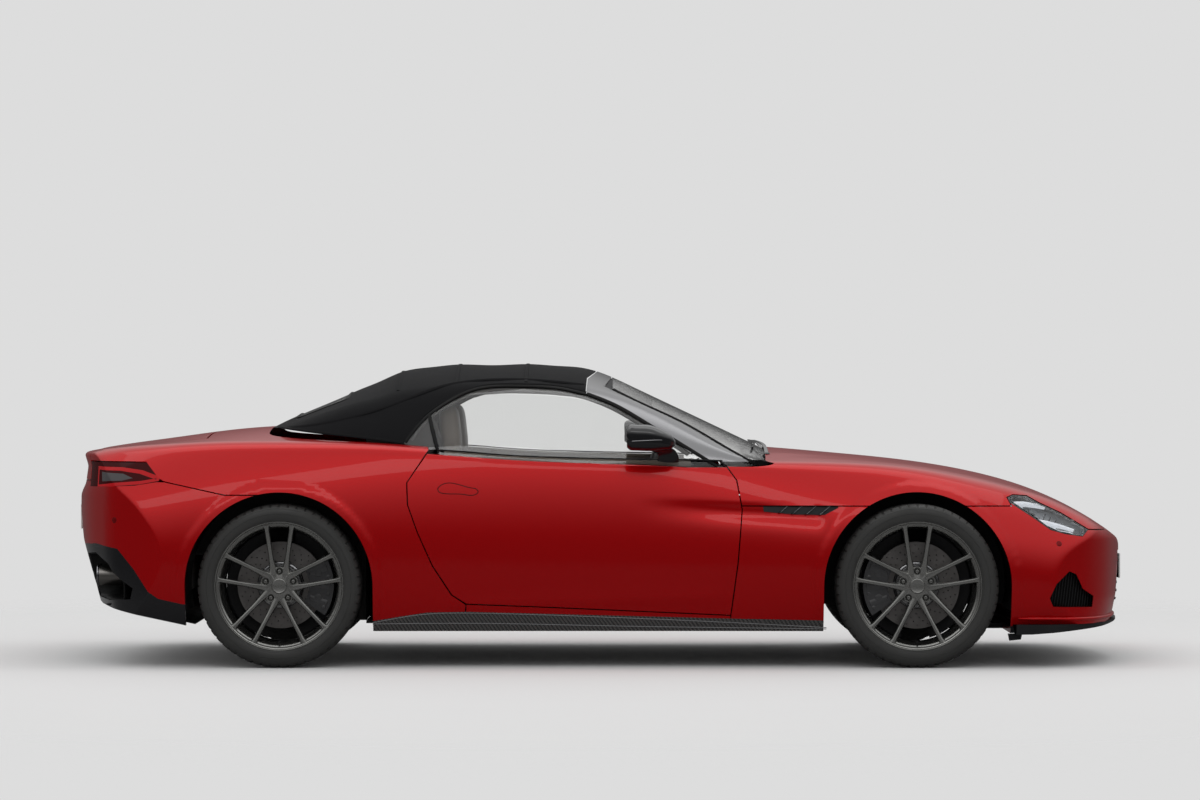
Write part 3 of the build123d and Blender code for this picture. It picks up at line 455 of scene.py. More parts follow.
def prism_x(table, x0, x1):
    """The solid between two planes of constant x with the outline given as (y, z)."""
    return extruded("prism_x", table, x0, x1, lambda y, z, x: (x, y, z))


def block(x0, x1, y0, y1, z0, z1):
    """A box between two planes of each kind."""
    return prism([(x0, z0), (x1, z0), (x1, z1), (x0, z1)], y0, y1)


def wrapped_faces(n_rows, count):
    """The faces of rows of closed rings, with the last row joined to the first."""
    return [(r * count + i, r * count + (i + 1) % count, (r + 1) % n_rows * count + (i + 1) % count,
             (r + 1) % n_rows * count + i) for r in range(n_rows) for i in range(count)]


def turned(profile, name, n, centre=(0, 0, 0)):
    """A piece turned about a line along Y. Profile rows: radius, place along the line."""
    profile = np.asarray(profile, float)
    angles = np.linspace(0, 2 * math.pi, n, endpoint=False)
    rows = np.zeros((n, len(profile), 3))
    rows[:, :, 0] = centre[0] + profile[None, :, 0] * np.cos(angles)[:, None]
    rows[:, :, 1] = centre[1] + profile[None, :, 1]
    rows[:, :, 2] = centre[2] + profile[None, :, 0] * np.sin(angles)[:, None]
    return new_object(name, rows.reshape(-1, 3), wrapped_faces(n, len(profile)), weld=1e-6)


def smooth_path(path, n, closed=False):
    """A run of points led smoothly through the given ones."""
    path = np.asarray(path, float)
    if closed:
        path = np.vstack((path[-2:], path, path[:3]))
    length = np.concatenate(([0], np.cumsum(np.linalg.norm(np.diff(path, axis=0), axis=1))))
    curves = [spline(np.column_stack((length, path[:, k])), 1) for k in range(path.shape[1])]
    ends = (length[2], length[-3]) if closed else (0, length[-1])
    t = np.linspace(*ends, n, endpoint=not closed)
    return np.column_stack([c(t) for c in curves])


def sweep(name, path, section, closed=False, up=(0, 0, 1), sizes=None):
    """A solid of one section led along a path. Section rows: sideways, upwards."""
    path, section = np.asarray(path, float), np.asarray(section, float)
    tangent = np.gradient(path, axis=0)
    if closed:
        tangent = np.roll(path, -1, axis=0) - np.roll(path, 1, axis=0)
    tangent /= np.linalg.norm(tangent, axis=1)[:, None]
    ups = np.tile(np.asarray(up, float), (len(path), 1)) if np.ndim(up) == 1 else np.asarray(up, float)
    aside = np.cross(tangent, ups)
    aside /= np.maximum(np.linalg.norm(aside, axis=1), 1e-9)[:, None]
    over = np.cross(aside, tangent)
    scale = np.ones(len(path)) if sizes is None else np.asarray(sizes, float)
    rows = (path[:, None, :] + aside[:, None, :] * section[None, :, :1] * scale[:, None, None]
            + over[:, None, :] * section[None, :, 1:2] * scale[:, None, None])
    if closed:
        return new_object(name, *ring_mesh(np.concatenate((rows, rows[:1])), caps=False), weld=1e-7)
    return new_object(name, *ring_mesh(rows))


def oval(width, height, n, power=1.0):
    """A closed section; the lower the power, the squarer it is."""
    angles = np.linspace(0, 2 * math.pi, n, endpoint=False)
    c, s = np.cos(angles), np.sin(angles)
    return np.column_stack((np.sign(c) * np.abs(c) ** power * width / 2,
                            np.sign(s) * np.abs(s) ** power * height / 2))


def paint(obj, *materials):
    """Gives an object its materials in place of those that it had."""
    obj.data.materials.clear()
    for material in materials:
        obj.data.materials.append(material)
    return obj


def place(obj, body, slot, *materials, replaces=()):
    """Gives a finished piece its finish and its body, and hides the CAD nodes that it stands for."""
    if materials:
        paint(obj, *materials)
    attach(obj, body)
    if replaces:
        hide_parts(*replaces)
    return obj


# ---------------------------------------------------------------- finishes
def node_group(name, outputs, inputs):
    """A shared group of shader nodes: its tree and its input and output nodes."""
    group = bpy.data.node_groups.new(name, "ShaderNodeTree")
    for label, default in inputs:
        socket = group.interface.new_socket(label, in_out="INPUT", socket_type="NodeSocketFloat")
        socket.default_value = default
    for label in outputs:
        group.interface.new_socket(label, in_out="OUTPUT", socket_type="NodeSocketFloat")
    return group, group.nodes.new("NodeGroupInput"), group.nodes.new("NodeGroupOutput")


def link(tree, source, target):
    """Joins two sockets."""
    tree.links.new(source, target)


def add_node(tree, kind, **inputs):
    """A shader node, with values for its inputs by name, each space of a name written as _."""
    node = tree.nodes.new("ShaderNode" + kind)
    for label, value in inputs.items():
        node.inputs[label.replace("_", " ")].default_value = value
    return node


def cleared_tree(owner):
    """The node tree of a material or of a world, with nothing in it."""
    owner.use_nodes = True
    owner.node_tree.nodes.clear()
    return owner.node_tree


def math_node(tree, operation, a, b=None):
    """A sum on values or on the outputs of other nodes."""
    node = add_node(tree, "Math")
    node.operation = operation
    for index, value in enumerate((a, b)):
        if isinstance(value, (int, float)):
            node.inputs[index].default_value = value
        elif value is not None:
            link(tree, value, node.inputs[index])
    return node.outputs[0]


def speckle_group():
    """Fine grain over a surface, and wide patches as a mask of wear."""
    group, given, out = node_group("surface grain", ("Grain", "Patches"),
                                   [("Grain scale", 900.0), ("Patch scale", 6.0)])
    where = add_node(group, "TexCoord")
    for detail, scale, result in ((2.0, "Grain scale", "Grain"), (4.0, "Patch scale", "Patches")):
        noise = add_node(group, "TexNoise", Detail=detail)
        link(group, where.outputs["Object"], noise.inputs["Vector"])
        link(group, given.outputs[scale], noise.inputs["Scale"])
        link(group, noise.outputs["Fac"], out.inputs[result])
    return group


def weave_group():
    """Crossing threads of a cloth, as a height and a mask of the raised threads, which the cloth's finish
    paints lighter as painted highlight, with the hollows between them darker as painted shade.
    """
    group, given, out = node_group("cloth weave", ("Height", "Threads"),
                                   [("Threads per metre", 700.0), ("Slub", 0.25)])
    where, split = add_node(group, "TexCoord"), add_node(group, "SeparateXYZ")
    link(group, where.outputs["Object"], split.inputs[0])
    turn = math_node(group, "MULTIPLY", given.outputs["Threads per metre"], math.pi)
    warp = math_node(group, "SINE", math_node(group, "MULTIPLY", split.outputs["X"], turn))
    across = math_node(group, "ADD", split.outputs["Y"], split.outputs["Z"])
    weft = math_node(group, "SINE", math_node(group, "MULTIPLY", across, turn))
    half = math_node(group, "MULTIPLY", math_node(group, "MULTIPLY", warp, weft), 0.5)
    noise = add_node(group, "TexNoise", Scale=320.0)
    link(group, where.outputs["Object"], noise.inputs["Vector"])
    slub = math_node(group, "MULTIPLY", noise.outputs["Fac"], given.outputs["Slub"])
    link(group, math_node(group, "ADD", half, slub), out.inputs["Height"])
    link(group, math_node(group, "ADD", half, 0.5), out.inputs["Threads"])
    return group


def carbon_group():
    """A two-by-two twill of dark tows, as a mask."""
    group, given, out = node_group("carbon twill", ("Tow",), [("Tows per metre", 260.0)])
    where, split = add_node(group, "TexCoord"), add_node(group, "SeparateXYZ")
    link(group, where.outputs["Object"], split.inputs[0])
    u = math_node(group, "MULTIPLY", split.outputs["X"], given.outputs["Tows per metre"])
    high = math_node(group, "ADD", split.outputs["Z"], split.outputs["Y"])
    v = math_node(group, "MULTIPLY", high, given.outputs["Tows per metre"])
    step = math_node(group, "ADD", math_node(group, "FLOOR", u), math_node(group, "FLOOR", v))
    phase = math_node(group, "MODULO", math_node(group, "ABSOLUTE", step), 4.0)
    link(group, math_node(group, "LESS_THAN", phase, 1.5), out.inputs["Tow"])
    return group


GROUPS = {}


def finish(name, color, rough, metal=0.0, vary=0.06, grain=900.0, bump=0.0, patches=6.0, group="grain",
           amount=0.0004, second=None, **sockets):
    """A surface with its colour and roughness varied by one of the shared groups."""
    material = bpy.data.materials.new(name)
    tree = cleared_tree(material)
    shader, out = add_node(tree, "BsdfPrincipled", Metallic=metal), add_node(tree, "OutputMaterial")
    link(tree, shader.outputs[0], out.inputs["Surface"])
    for socket, value in sockets.items():
        shader.inputs[socket.replace("_", " ").title().replace("Ior", "IOR")].default_value = value
    node = add_node(tree, "Group")
    node.node_tree = GROUPS[group]
    mask, height = node.outputs[0], node.outputs[0]
    if group == "grain":
        node.inputs["Grain scale"].default_value = grain
        node.inputs["Patch scale"].default_value = patches
        mask = node.outputs["Patches"]
    elif group == "weave":
        node.inputs["Threads per metre"].default_value = grain
        # the raised threads get the lighter colour: painted highlight on the threads, painted shade in the
        # hollows
        mask = node.outputs["Threads"]
    else:
        node.inputs["Tows per metre"].default_value = grain
    mix = add_node(tree, "Mix")
    mix.data_type = "RGBA"
    dark = [c * (1 - vary) for c in color]
    light = list(second) if second else [min(1.0, c * (1 + vary)) for c in color]
    mix.inputs["A"].default_value = (*dark, 1)
    mix.inputs["B"].default_value = (*light, 1)
    link(tree, mask, mix.inputs["Factor"])
    link(tree, mix.outputs["Result"], shader.inputs["Base Color"])
    spread = add_node(tree, "MapRange", To_Min=max(0.0, rough * (1 - 2 * vary)),
                      To_Max=min(1.0, rough * (1 + 2 * vary)))
    link(tree, mask, spread.inputs["Value"])
    link(tree, spread.outputs["Result"], shader.inputs["Roughness"])
    if bump:
        bumped = add_node(tree, "Bump", Strength=bump, Distance=amount)
        link(tree, height, bumped.inputs["Height"])
        link(tree, bumped.outputs[0], shader.inputs["Normal"])
    return material


def glass(name, color, **sockets):
    """A clear surface that lets light through."""
    material = finish(name, color, 0.0, vary=0.01, **sockets)
    shader = next(n for n in material.node_tree.nodes if n.type == "BSDF_PRINCIPLED")
    shader.inputs["Transmission Weight"].default_value = 1.0
    return material


FINISHES = {}


# ---------------------------------------------------------------- settings that a user would change
class ConvertiblePaint(bpy.types.PropertyGroup):
    """The colours that can be changed"""
    body: FloatVectorProperty(name="Body colour", description="Colour of the metallic paint", subtype="COLOR",
                              default=(0.360, 0.0012, 0.0024), min=0, max=1)
    wheels: FloatVectorProperty(name="Wheel colour", description="Satin colour of the road wheels",
                                subtype="COLOR", default=(0.300, 0.300, 0.288), min=0, max=1)
    cloth: FloatVectorProperty(name="Roof cloth", description="Colour of the raised roof", subtype="COLOR",
                               default=(0.0065, 0.0065, 0.0070), min=0, max=1)
    leather: FloatVectorProperty(name="Leather", description="Colour of the seats", subtype="COLOR",
                                 default=(0.250, 0.205, 0.165), min=0, max=1)


class ConvertibleSizes(bpy.types.PropertyGroup):
    """The sizes that can be changed, in metres"""
    groove_depth: FloatProperty(name="Tread depth", description="Depth of the tyre grooves", default=0.007,
                                min=0.001, max=0.012, unit="LENGTH")
    spoke_width: FloatProperty(name="Spoke width", description="Width of a wheel spoke at its middle",
                               default=0.023, min=0.010, max=0.050, unit="LENGTH")
    seam_height: FloatProperty(name="Seam height", description="Rise of the roof's sewn seams",
                               default=0.0025, min=0.0, max=0.01, unit="LENGTH")


class ConvertibleStage(bpy.types.PropertyGroup):
    """The backdrop and its light"""
    shade: FloatProperty(name="Backdrop", description="Brightness of the backdrop", default=0.723, min=0,
                         max=1)
    light: FloatProperty(name="Light", description="Strength of the overhead light", default=1.0, min=0,
                         max=5)


def settings():
    """The three groups of settings: the colours, the sizes and the stage."""
    scene = bpy.context.scene
    return scene.convertible_paint, scene.convertible_sizes, scene.convertible_stage


def make_finishes():
    """All surfaces of the car, by a plain name."""
    colours = settings()[0]
    GROUPS["grain"] = speckle_group()
    GROUPS["weave"] = weave_group()
    GROUPS["carbon"] = carbon_group()
    body = tuple(colours.body)
    f = FINISHES
    f["paint"] = finish("metallic paint", body, 0.34, metal=0.55, vary=0.10, grain=5200, patches=2600,
                        bump=0.02, specular_ior_level=0.03, coat_weight=0.55, coat_roughness=0.025,
                        coat_ior=1.42)
    f["gloss_black"] = finish("gloss black", (0.004, 0.004, 0.005), 0.14, vary=0.2, coat_weight=0.5,
                              specular_ior_level=0.35)
    f["carbon"] = finish("lacquered carbon", (0.012, 0.012, 0.012), 0.3, group="carbon", grain=230,
                         second=(0.045, 0.043, 0.042), coat_weight=1.0, coat_roughness=0.04)
    f["satin_black"] = finish("satin black plastic", (0.009, 0.009, 0.010), 0.5, vary=0.2, grain=2400,
                              bump=0.2, specular_ior_level=0.2)
    f["rubber"] = finish("tyre rubber", (0.020, 0.020, 0.019), 0.72, vary=0.25, grain=1400, patches=9,
                         bump=0.25)
    f["seal"] = finish("seal rubber", (0.004, 0.004, 0.004), 0.6, vary=0.2, grain=1800, bump=0.15,
                       specular_ior_level=0.15)
    f["alloy"] = finish("satin alloy", tuple(colours.wheels), 0.24, metal=0.95, vary=0.12, grain=3000,
                        patches=12, bump=0.03, coat_weight=0.3)
    f["silver"] = finish("anodised aluminium", (0.19, 0.19, 0.195), 0.24, metal=1.0, vary=0.05, grain=2600,
                         bump=0.03)
    f["iron"] = finish("brake disc", (0.20, 0.19, 0.185), 0.34, metal=1.0, vary=0.2, grain=700, patches=20,
                       bump=0.1)
    f["caliper"] = finish("caliper enamel", (0.028, 0.028, 0.030), 0.35, vary=0.15, coat_weight=0.5)
    f["steel"] = finish("painted steel", (0.055, 0.055, 0.058), 0.5, metal=0.3, vary=0.25, grain=500,
                        patches=7, bump=0.12)
    f["chrome"] = finish("dark chrome", (0.20, 0.20, 0.21), 0.14, metal=1.0, vary=0.06)
    f["lens_metal"] = finish("lamp reflector", (0.62, 0.63, 0.65), 0.12, metal=1.0, vary=0.06)
    f["pipe"] = finish("exhaust steel", (0.21, 0.20, 0.19), 0.32, metal=1.0, vary=0.2, grain=600, bump=0.1)
    # the raised threads get a colour 2.1 times the cloth's and the hollows a darker one: painted highlight
    # and painted shade in the weave
    f["cloth"] = finish("roof cloth", tuple(colours.cloth), 0.86, group="weave", grain=620,
                        second=tuple(c * 2.1 for c in colours.cloth), vary=0.25, bump=0.35, amount=0.0005,
                        sheen_weight=0.03, sheen_roughness=0.45, specular_ior_level=0.02)
    f["leather"] = finish("seat leather", tuple(colours.leather), 0.48, vary=0.10, grain=700, patches=4,
                          bump=0.25)
    f["trim_leather"] = finish("dark leather", (0.018, 0.017, 0.017), 0.5, vary=0.15, grain=800, bump=0.25)
    f["lining"] = finish("cabin lining", (0.085, 0.083, 0.080), 0.8, vary=0.15, grain=900, bump=0.2)
    f["carpet"] = finish("carpet", (0.020, 0.019, 0.018), 0.95, vary=0.3, grain=1600, bump=0.6)
    f["thread"] = finish("stitching", (0.42, 0.38, 0.33), 0.7, vary=0.1, grain=1800, bump=0.3)
    f["side_glass"] = glass("side glass", (0.95, 0.955, 0.95), specular_ior_level=0.5, ior=1.45)
    f["screen_glass"] = glass("windscreen glass", (0.90, 0.90, 0.89), specular_ior_level=0.5, ior=1.45)
    f["lamp_clear"] = glass("lamp cover", (0.93, 0.94, 0.95), specular_ior_level=0.5, ior=1.3)
    f["lamp_red"] = finish("tail lamp lens", (0.035, 0.0015, 0.002), 0.12, vary=0.15, grain=60, patches=40,
                           specular_ior_level=0.02, coat_weight=0.10, coat_roughness=0.05)
    f["lamp_glow"] = finish("tail lamp guide", (0.30, 0.004, 0.006), 0.25, vary=0.08, coat_weight=0.1,
                            specular_ior_level=0.1, emission_color=(0.5, 0.006, 0.010, 1),
                            emission_strength=0.12)
    f["lamp_white"] = finish("lamp guide", (0.82, 0.84, 0.88), 0.2, vary=0.04, coat_weight=1.0,
                             emission_color=(0.9, 0.94, 1.0, 1), emission_strength=0.35)
    f["lamp_bowl"] = finish("lamp housing", (0.72, 0.73, 0.75), 0.36, metal=0.35, vary=0.15, grain=300,
                            patches=25)
    f["lamp_glass"] = finish("lamp lens", (0.10, 0.11, 0.13), 0.05, metal=0.4, vary=0.1, coat_weight=1.0)
    f["lamp_smoke"] = finish("smoked lens", (0.060, 0.056, 0.058), 0.14, vary=0.1, specular_ior_level=0.1,
                             coat_weight=0.1)
    # Bright metal for thin edges, standing for the light that the edges catch: painted highlight.
    f["edge_highlight"] = finish("painted edge highlight", (0.30, 0.30, 0.31), 0.3, metal=0.8, vary=0.1, grain=2600)
    f["plate"] = finish("plate enamel", (0.62, 0.62, 0.60), 0.35, vary=0.04, grain=1500, bump=0.03,
                        coat_weight=0.5)
    f["mirror"] = finish("mirror glass", (0.75, 0.77, 0.80), 0.03, metal=1.0, vary=0.02)
    f["sensor"] = finish("parking sensor", (0.15, 0.002, 0.003), 0.35, metal=0.5, vary=0.1,
                         specular_ior_level=0.03, coat_weight=0.2)


# ---------------------------------------------------------------- outlines of the panels, columns: x, z
DOOR_SKIN = [(540, 905), (599, 823), (623, 696), (604, 465), (573, 233), (-220, 268), (-588, 283),
             (-650, 323), (-733, 450), (-799, 595), (-843, 718), (-847, 814), (-751, 955), (-701, 952),
             (-397, 928), (0, 914), (397, 908)]
DOOR_CORE = [(520, 880), (565, 800), (580, 690), (562, 470), (530, 262), (-220, 296), (-560, 310),
             (-615, 345), (-690, 465), (-752, 600), (-795, 720), (-798, 800), (-740, 920), (-397, 915),
             (0, 900), (397, 893)]
BONNET = [(544.4, 1200), (544.4, 908), (604.7, 824), (624.9, 714), (1395, 714), (1812, 712), (1795, 748),
          (1826, 760), (1890, 755), (1945, 724), (2040, 680), (2160, 607), (2284, 600), (2288, 1200)]
FRONT_BUMPER = [(1400, 709), (1819, 707), (1802, 745), (1827, 755), (1888, 750), (1943, 719), (2038, 675),
                (2158, 602), (2292, 595), (2310, 640), (2500, 640), (2500, 190), (1815, 190), (1830, 150),
                (1400, 150)]
LAMP_FRONT = [(1802, 745), (1827, 755), (1888, 750), (1943, 719), (2038, 675), (2158, 602), (2130, 574),
              (2050, 586), (1985, 604), (1900, 664), (1812, 722)]
FENDER = [(628.2, 696), (609.2, 464.5), (578.2, 232.5), (577, 216.3), (1000, 208.3), (1395, 208), (1395, 709),
          (625.2, 709)]
REAR_BUMPER = [(-1410, 757), (-1650, 757), (-1920, 815), (-2500, 815), (-2500, 100), (-1410, 100)]
LAMP_REAR = [(-1944, 817), (-1940, 828), (-2000, 900), (-2500, 905), (-2500, 780), (-2300, 790), (-2050, 800)]
BOOT_LID = [(-1757, 1200), (-1757, 900), (-2140, 880), (-2140, 820), (-2500, 820), (-2500, 1200)]
BOOT_GAP = [(-1749, 1300), (-1749, 895), (-2145, 875), (-2145, 815), (-2500, 815), (-2500, 1300)]
DECK = [(-1749, 1300), (-1749, 880), (-862, 880), (-862, 1300)]
DECK_CUT = [(-1749, 895), (-1749, 1300), (-868, 1300), (-868, 962), (-1500, 900)]
BOOT_HALF, DECK_HALF, GAP = 610.0, 690.0, 5.0
DIFFUSER = [(-2236, 540), (-2500, 510), (-2500, 100), (-1700, 100), (-1700, 277), (-1834, 281), (-1940, 305),
            (-1984, 336), (-2051, 435), (-2126, 522)]
TAIL_RISE = [(-1778, 176), (-2500, 333), (-2500, 50), (-1778, 50)]
QUARTER = [(-805, 597), (-848.5, 718.5), (-852.5, 813.5), (-757, 958), (-862, 1300), (-2500, 1300),
           (-2500, 910), (-2004, 905), (-1946, 834), (-1920, 820), (-1650, 762), (-1410, 762), (-1410, 200),
           (-1012, 203), (-880, 225.3), (-760, 243.3), (-594, 246.3), (-591, 277), (-655, 319.5),
           (-738, 447.5)]
VENT = [(712, 740), (1052, 740), (1046, 703), (986, 672), (849, 675), (720, 687)]
INTAKE_FRONT = [(2065, 424), (2005, 368), (1976, 306), (1992, 268), (2176, 262), (2182, 310), (2130, 345),
                (2098, 410)]
GRILLE_X, GRILLE_HALF, GRILLE_LOW, GRILLE_HIGH = (2150, 2400), 340.0, 250.0, 495.0
BUMPER_FLOOR = (1832, 187)  # the bumper's faces behind this x and below this z are black
FIT = 0.3  # the room left between fixed pieces
PLATE_ROOM = (-2350.7, 260.3, 589.7, 700.3)  # back of the rear plate's recess, half width, bottom, top
WELL_INNER_Y, DOOR_INNER_Y = 490.0, 815.0

PARTS = {}


def side_pair(table, inner_y):
    """The same prism on both sides of the car, as one object."""
    return joined("pair", [prism(table, -OUTSIDE_Y, -inner_y), prism(table, inner_y, OUTSIDE_Y)])


def arch_prism(axle, radius, inner_y):
    """The room of a pair of wheels, open downwards."""
    angles = np.linspace(0, math.pi, 90)
    outline = [(axle + radius * math.cos(a), WHEEL_Z + radius * math.sin(a)) for a in angles]
    outline += [(axle - radius, -50), (axle + radius, -50)]
    return side_pair(outline, inner_y)


def make_body_solids():
    """The body's outer and inner volumes, and the skin between them with the arches cut out."""
    points, faces = body_mesh_data(0, 12.0, (7, 52, 12, 40), 30)
    outer = new_object("outer", points, faces)
    PARTS["tree"] = BVHTree.FromPolygons((points * MM).tolist(), faces)
    points, faces = body_mesh_data(SKIN, 38.0, (5, 20, 5, 14), 16, details=False)
    inner = new_object("inner", points, faces)
    skin = duplicate(outer, "skin")
    cut(skin, inner)
    for axle in (FRONT_AXLE, REAR_AXLE):
        cut(skin, arch_prism(axle, ARCH_RADIUS, WELL_INNER_Y), keep=False)
    cut(skin, block(-1900, 1400, -DOOR_INNER_Y - 20, DOOR_INNER_Y + 20, -10, 330), keep=False)
    cut(skin, whole(TAIL_RISE), keep=False)
    for key, inset in (("cabin_clear", -8), ("cabin_seat", -0.5), ("inner_cabin", 16)):
        PARTS[key] = new_object(key, *cabin_mesh_data(inset))
    PARTS.update(outer=outer, inner=inner, skin=skin)


def panel(name, zone, body, less=()):
    """A painted panel: the skin inside a zone, less other zones. Only the zones in PARTS are kept."""
    obj = duplicate(PARTS["skin"], name + "_panel")
    cut(obj, zone, "INTERSECT", keep=False)
    for other in less:
        cut(obj, other, keep=other in PARTS.values())
    shade(obj, 32)
    if body is None:
        return paint(obj, FINISHES["paint"])
    return place(obj, body, "body_red", FINISHES["paint"], replaces=(name,))


def whole(table, half=OUTSIDE_Y):
    """A prism across the car."""
    return prism(table, -half, half)


class CONVERTIBLE_OT_panels(bpy.types.Operator):
    """Makes the painted body panels with their shut lines"""
    bl_idname = "convertible.panels"
    bl_label = "Body panels"

    def execute(self, context):
        make_body_solids()
        panel("bonnet", whole(BONNET), "bonnet", [PARTS["cabin_clear"]])
        grille_hole = block(*GRILLE_X, -GRILLE_HALF, GRILLE_HALF, GRILLE_LOW, GRILLE_HIGH)
        nose = panel("front_bumper", whole(FRONT_BUMPER), "body",
                     [side_pair(LAMP_FRONT, 300), grille_hole, side_pair(INTAKE_FRONT, 520)])
        nose.data.materials.append(FINISHES["satin_black"])
        for face in nose.data.polygons:
            if face.center.x < BUMPER_FLOOR[0] * MM and face.center.z < BUMPER_FLOOR[1] * MM:
                face.material_index = 1
        panel("front_fenders", side_pair(FENDER, 500), "body", [side_pair(VENT, 700)])
        door = panel("door_right", prism(DOOR_SKIN, -OUTSIDE_Y, -DOOR_INNER_Y), None)
        core = duplicate(PARTS["inner"], "door_card_right")
        cut(core, prism(DOOR_CORE, -980, -DOOR_INNER_Y), "INTERSECT", keep=False)
        cut(door, block(-900, 700, -872, -700, 880, 1000), keep=False)
        left_door, left_core = mirrored(door, "door_left_panel"), mirrored(core, "door_card_left")
        for side, skin_piece, card in (("right", door, core), ("left", left_door, left_core)):
            place(skin_piece, "door_" + side, "body_red", FINISHES["paint"], replaces=("door_" + side,))
            place(shade(card, 30), "door_" + side, "dash_leather", FINISHES["trim_leather"])
        gap = whole(BOOT_GAP, BOOT_HALF + GAP)
        lamps = side_pair(LAMP_REAR, BOOT_HALF + GAP)
        deck = whole(DECK_CUT, DECK_HALF)
        panel("rear_quarters", side_pair(QUARTER, 300), "body",
              [duplicate(gap, "gap"), PARTS["cabin_seat"], deck, duplicate(lamps, "lamps")])
        panel("tonneau_panel", whole(DECK, DECK_HALF - FIT), "body", [PARTS["cabin_seat"]])
        panel("boot_lid", whole(BOOT_LID, BOOT_HALF), "boot_lid")
        back, half, low, high = PLATE_ROOM
        panel("rear_bumper", whole(REAR_BUMPER), "body",
              [whole(DIFFUSER), duplicate(lamps, "lamps"), gap, block(-2500, back, -half, half, low, high)])
        discard(lamps)
        return {"FINISHED"}


# ---------------------------------------------------------------- wheels
TYRE_FACE_Y = 966.0
WHEELS = (("front_right", FRONT_AXLE, -1, 275.0), ("front_left", FRONT_AXLE, 1, 275.0),
          ("rear_right", REAR_AXLE, -1, 325.0), ("rear_left", REAR_AXLE, 1, 325.0))
BOLT_RING, BOLT_COUNT, SPOKE_SPLAY = 64.0, 5, 24.0
BOLT_SEATS = [(BOLT_RING * math.cos(a), 0, BOLT_RING * math.sin(a))
              for a in (math.radians(90 + 72 * k) for k in range(BOLT_COUNT))]
HUB_RADIUS, RIM_RADIUS = 50, 271  # where the spokes start and end
FACE_DEPTH = 33.0  # from the tyre's side to the face that the hub is measured from


def tyre_profile(width):
    """Outer side first. Rows: radius, place along the axle."""
    h = width / 2
    side = [(267.4, h - 22.4), (285.4, h - 22.4), (285.4, h - 8), (288, h - 6.2), (291, h - 5.4),
            (292, h - 3.6), (296, h - 2.2), (302, h - 0.9), (309, h - 0.1), (316, h), (316.6, h - 0.9),
            (318.4, h - 0.9), (319, h), (326, h - 0.7), (333, h - 2.6), (338, h - 4.8), (338.6, h - 6.2),
            (341, h - 6.6), (341.6, h - 7.2), (346, h - 10), (350.5, h - 14.2), (354, h - 19.5),
            (356.6, h - 26), (358.2, h - 33)]
    grooves = np.array((0.22, 0.66)) * (h - 38)
    tread = []
    for centre in grooves[::-1]:
        tread += [(359.4, centre + 6.2), (353.2, centre + 4.6), (353.2, centre - 4.6), (359.6, centre - 6.2)]
    half = side + tread + [(360.0, 3.0)]
    return np.array(half + [(r, -u) for r, u in reversed(half)])


def make_tyre(name, width, depth):
    """A tyre with lengthwise grooves, blocks across its shoulders and fine cuts in the ribs."""
    profile = tyre_profile(width)
    h, count = width / 2, 336
    angles = np.arange(count) * 2 * math.pi / count
    rows = np.zeros((count, len(profile), 3))
    for i, a in enumerate(angles):
        radius = profile[:, 0].copy()
        off = np.abs(profile[:, 1])
        shoulder = (off > h - 36) & (radius > 349)
        if i % 6 == 0:
            radius[shoulder] -= depth * 0.75
        rib = (radius > 358) & (off < h - 34)
        if i % 12 == 3:
            radius[rib & (profile[:, 1] > 0)] -= 1.6
        if i % 12 == 9:
            radius[rib & (profile[:, 1] < 0)] -= 1.6
        rows[i] = np.column_stack((radius * math.cos(a), profile[:, 1], radius * math.sin(a)))
    return shade(new_object(name, rows.reshape(-1, 3), wrapped_faces(count, len(profile))), 30)


def spoke(start, end, start_u, end_u, width):
    """One spoke from the hub to the rim, between two places given as (x, z)."""
    start, end = np.array(start), np.array(end)
    along = (end - start) / np.linalg.norm(end - start)
    aside = np.array((-along[1], along[0]))
    rows = []
    for t in np.linspace(0, 1, 22):
        centre = start + (end - start) * t
        u = start_u + (end_u - start_u) * t ** 1.25 + 3.0 * math.sin(math.pi * t)
        w = width * (1.42 - 0.62 * smooth_step(0, 0.45, t) + 0.10 * t + 0.55 * smooth_step(0.93, 1.0, t)) / 2
        deep = 34 - 10 * t
        section = [(-w * 0.80, -deep), (-w * 1.12, -12), (-w * 0.96, -5.0), (-w * 0.70, -1.0),
                   (-w * 0.34, 0.0), (0, 0.2), (w * 0.34, 0.0), (w * 0.70, -1.0), (w * 0.96, -5.0),
                   (w * 1.12, -12), (w * 0.80, -deep)]
        rows.append([(centre[0] + aside[0] * s, u + d, centre[1] + aside[1] * s) for s, d in section])
    return new_object("spoke", *ring_mesh(np.array(rows)))


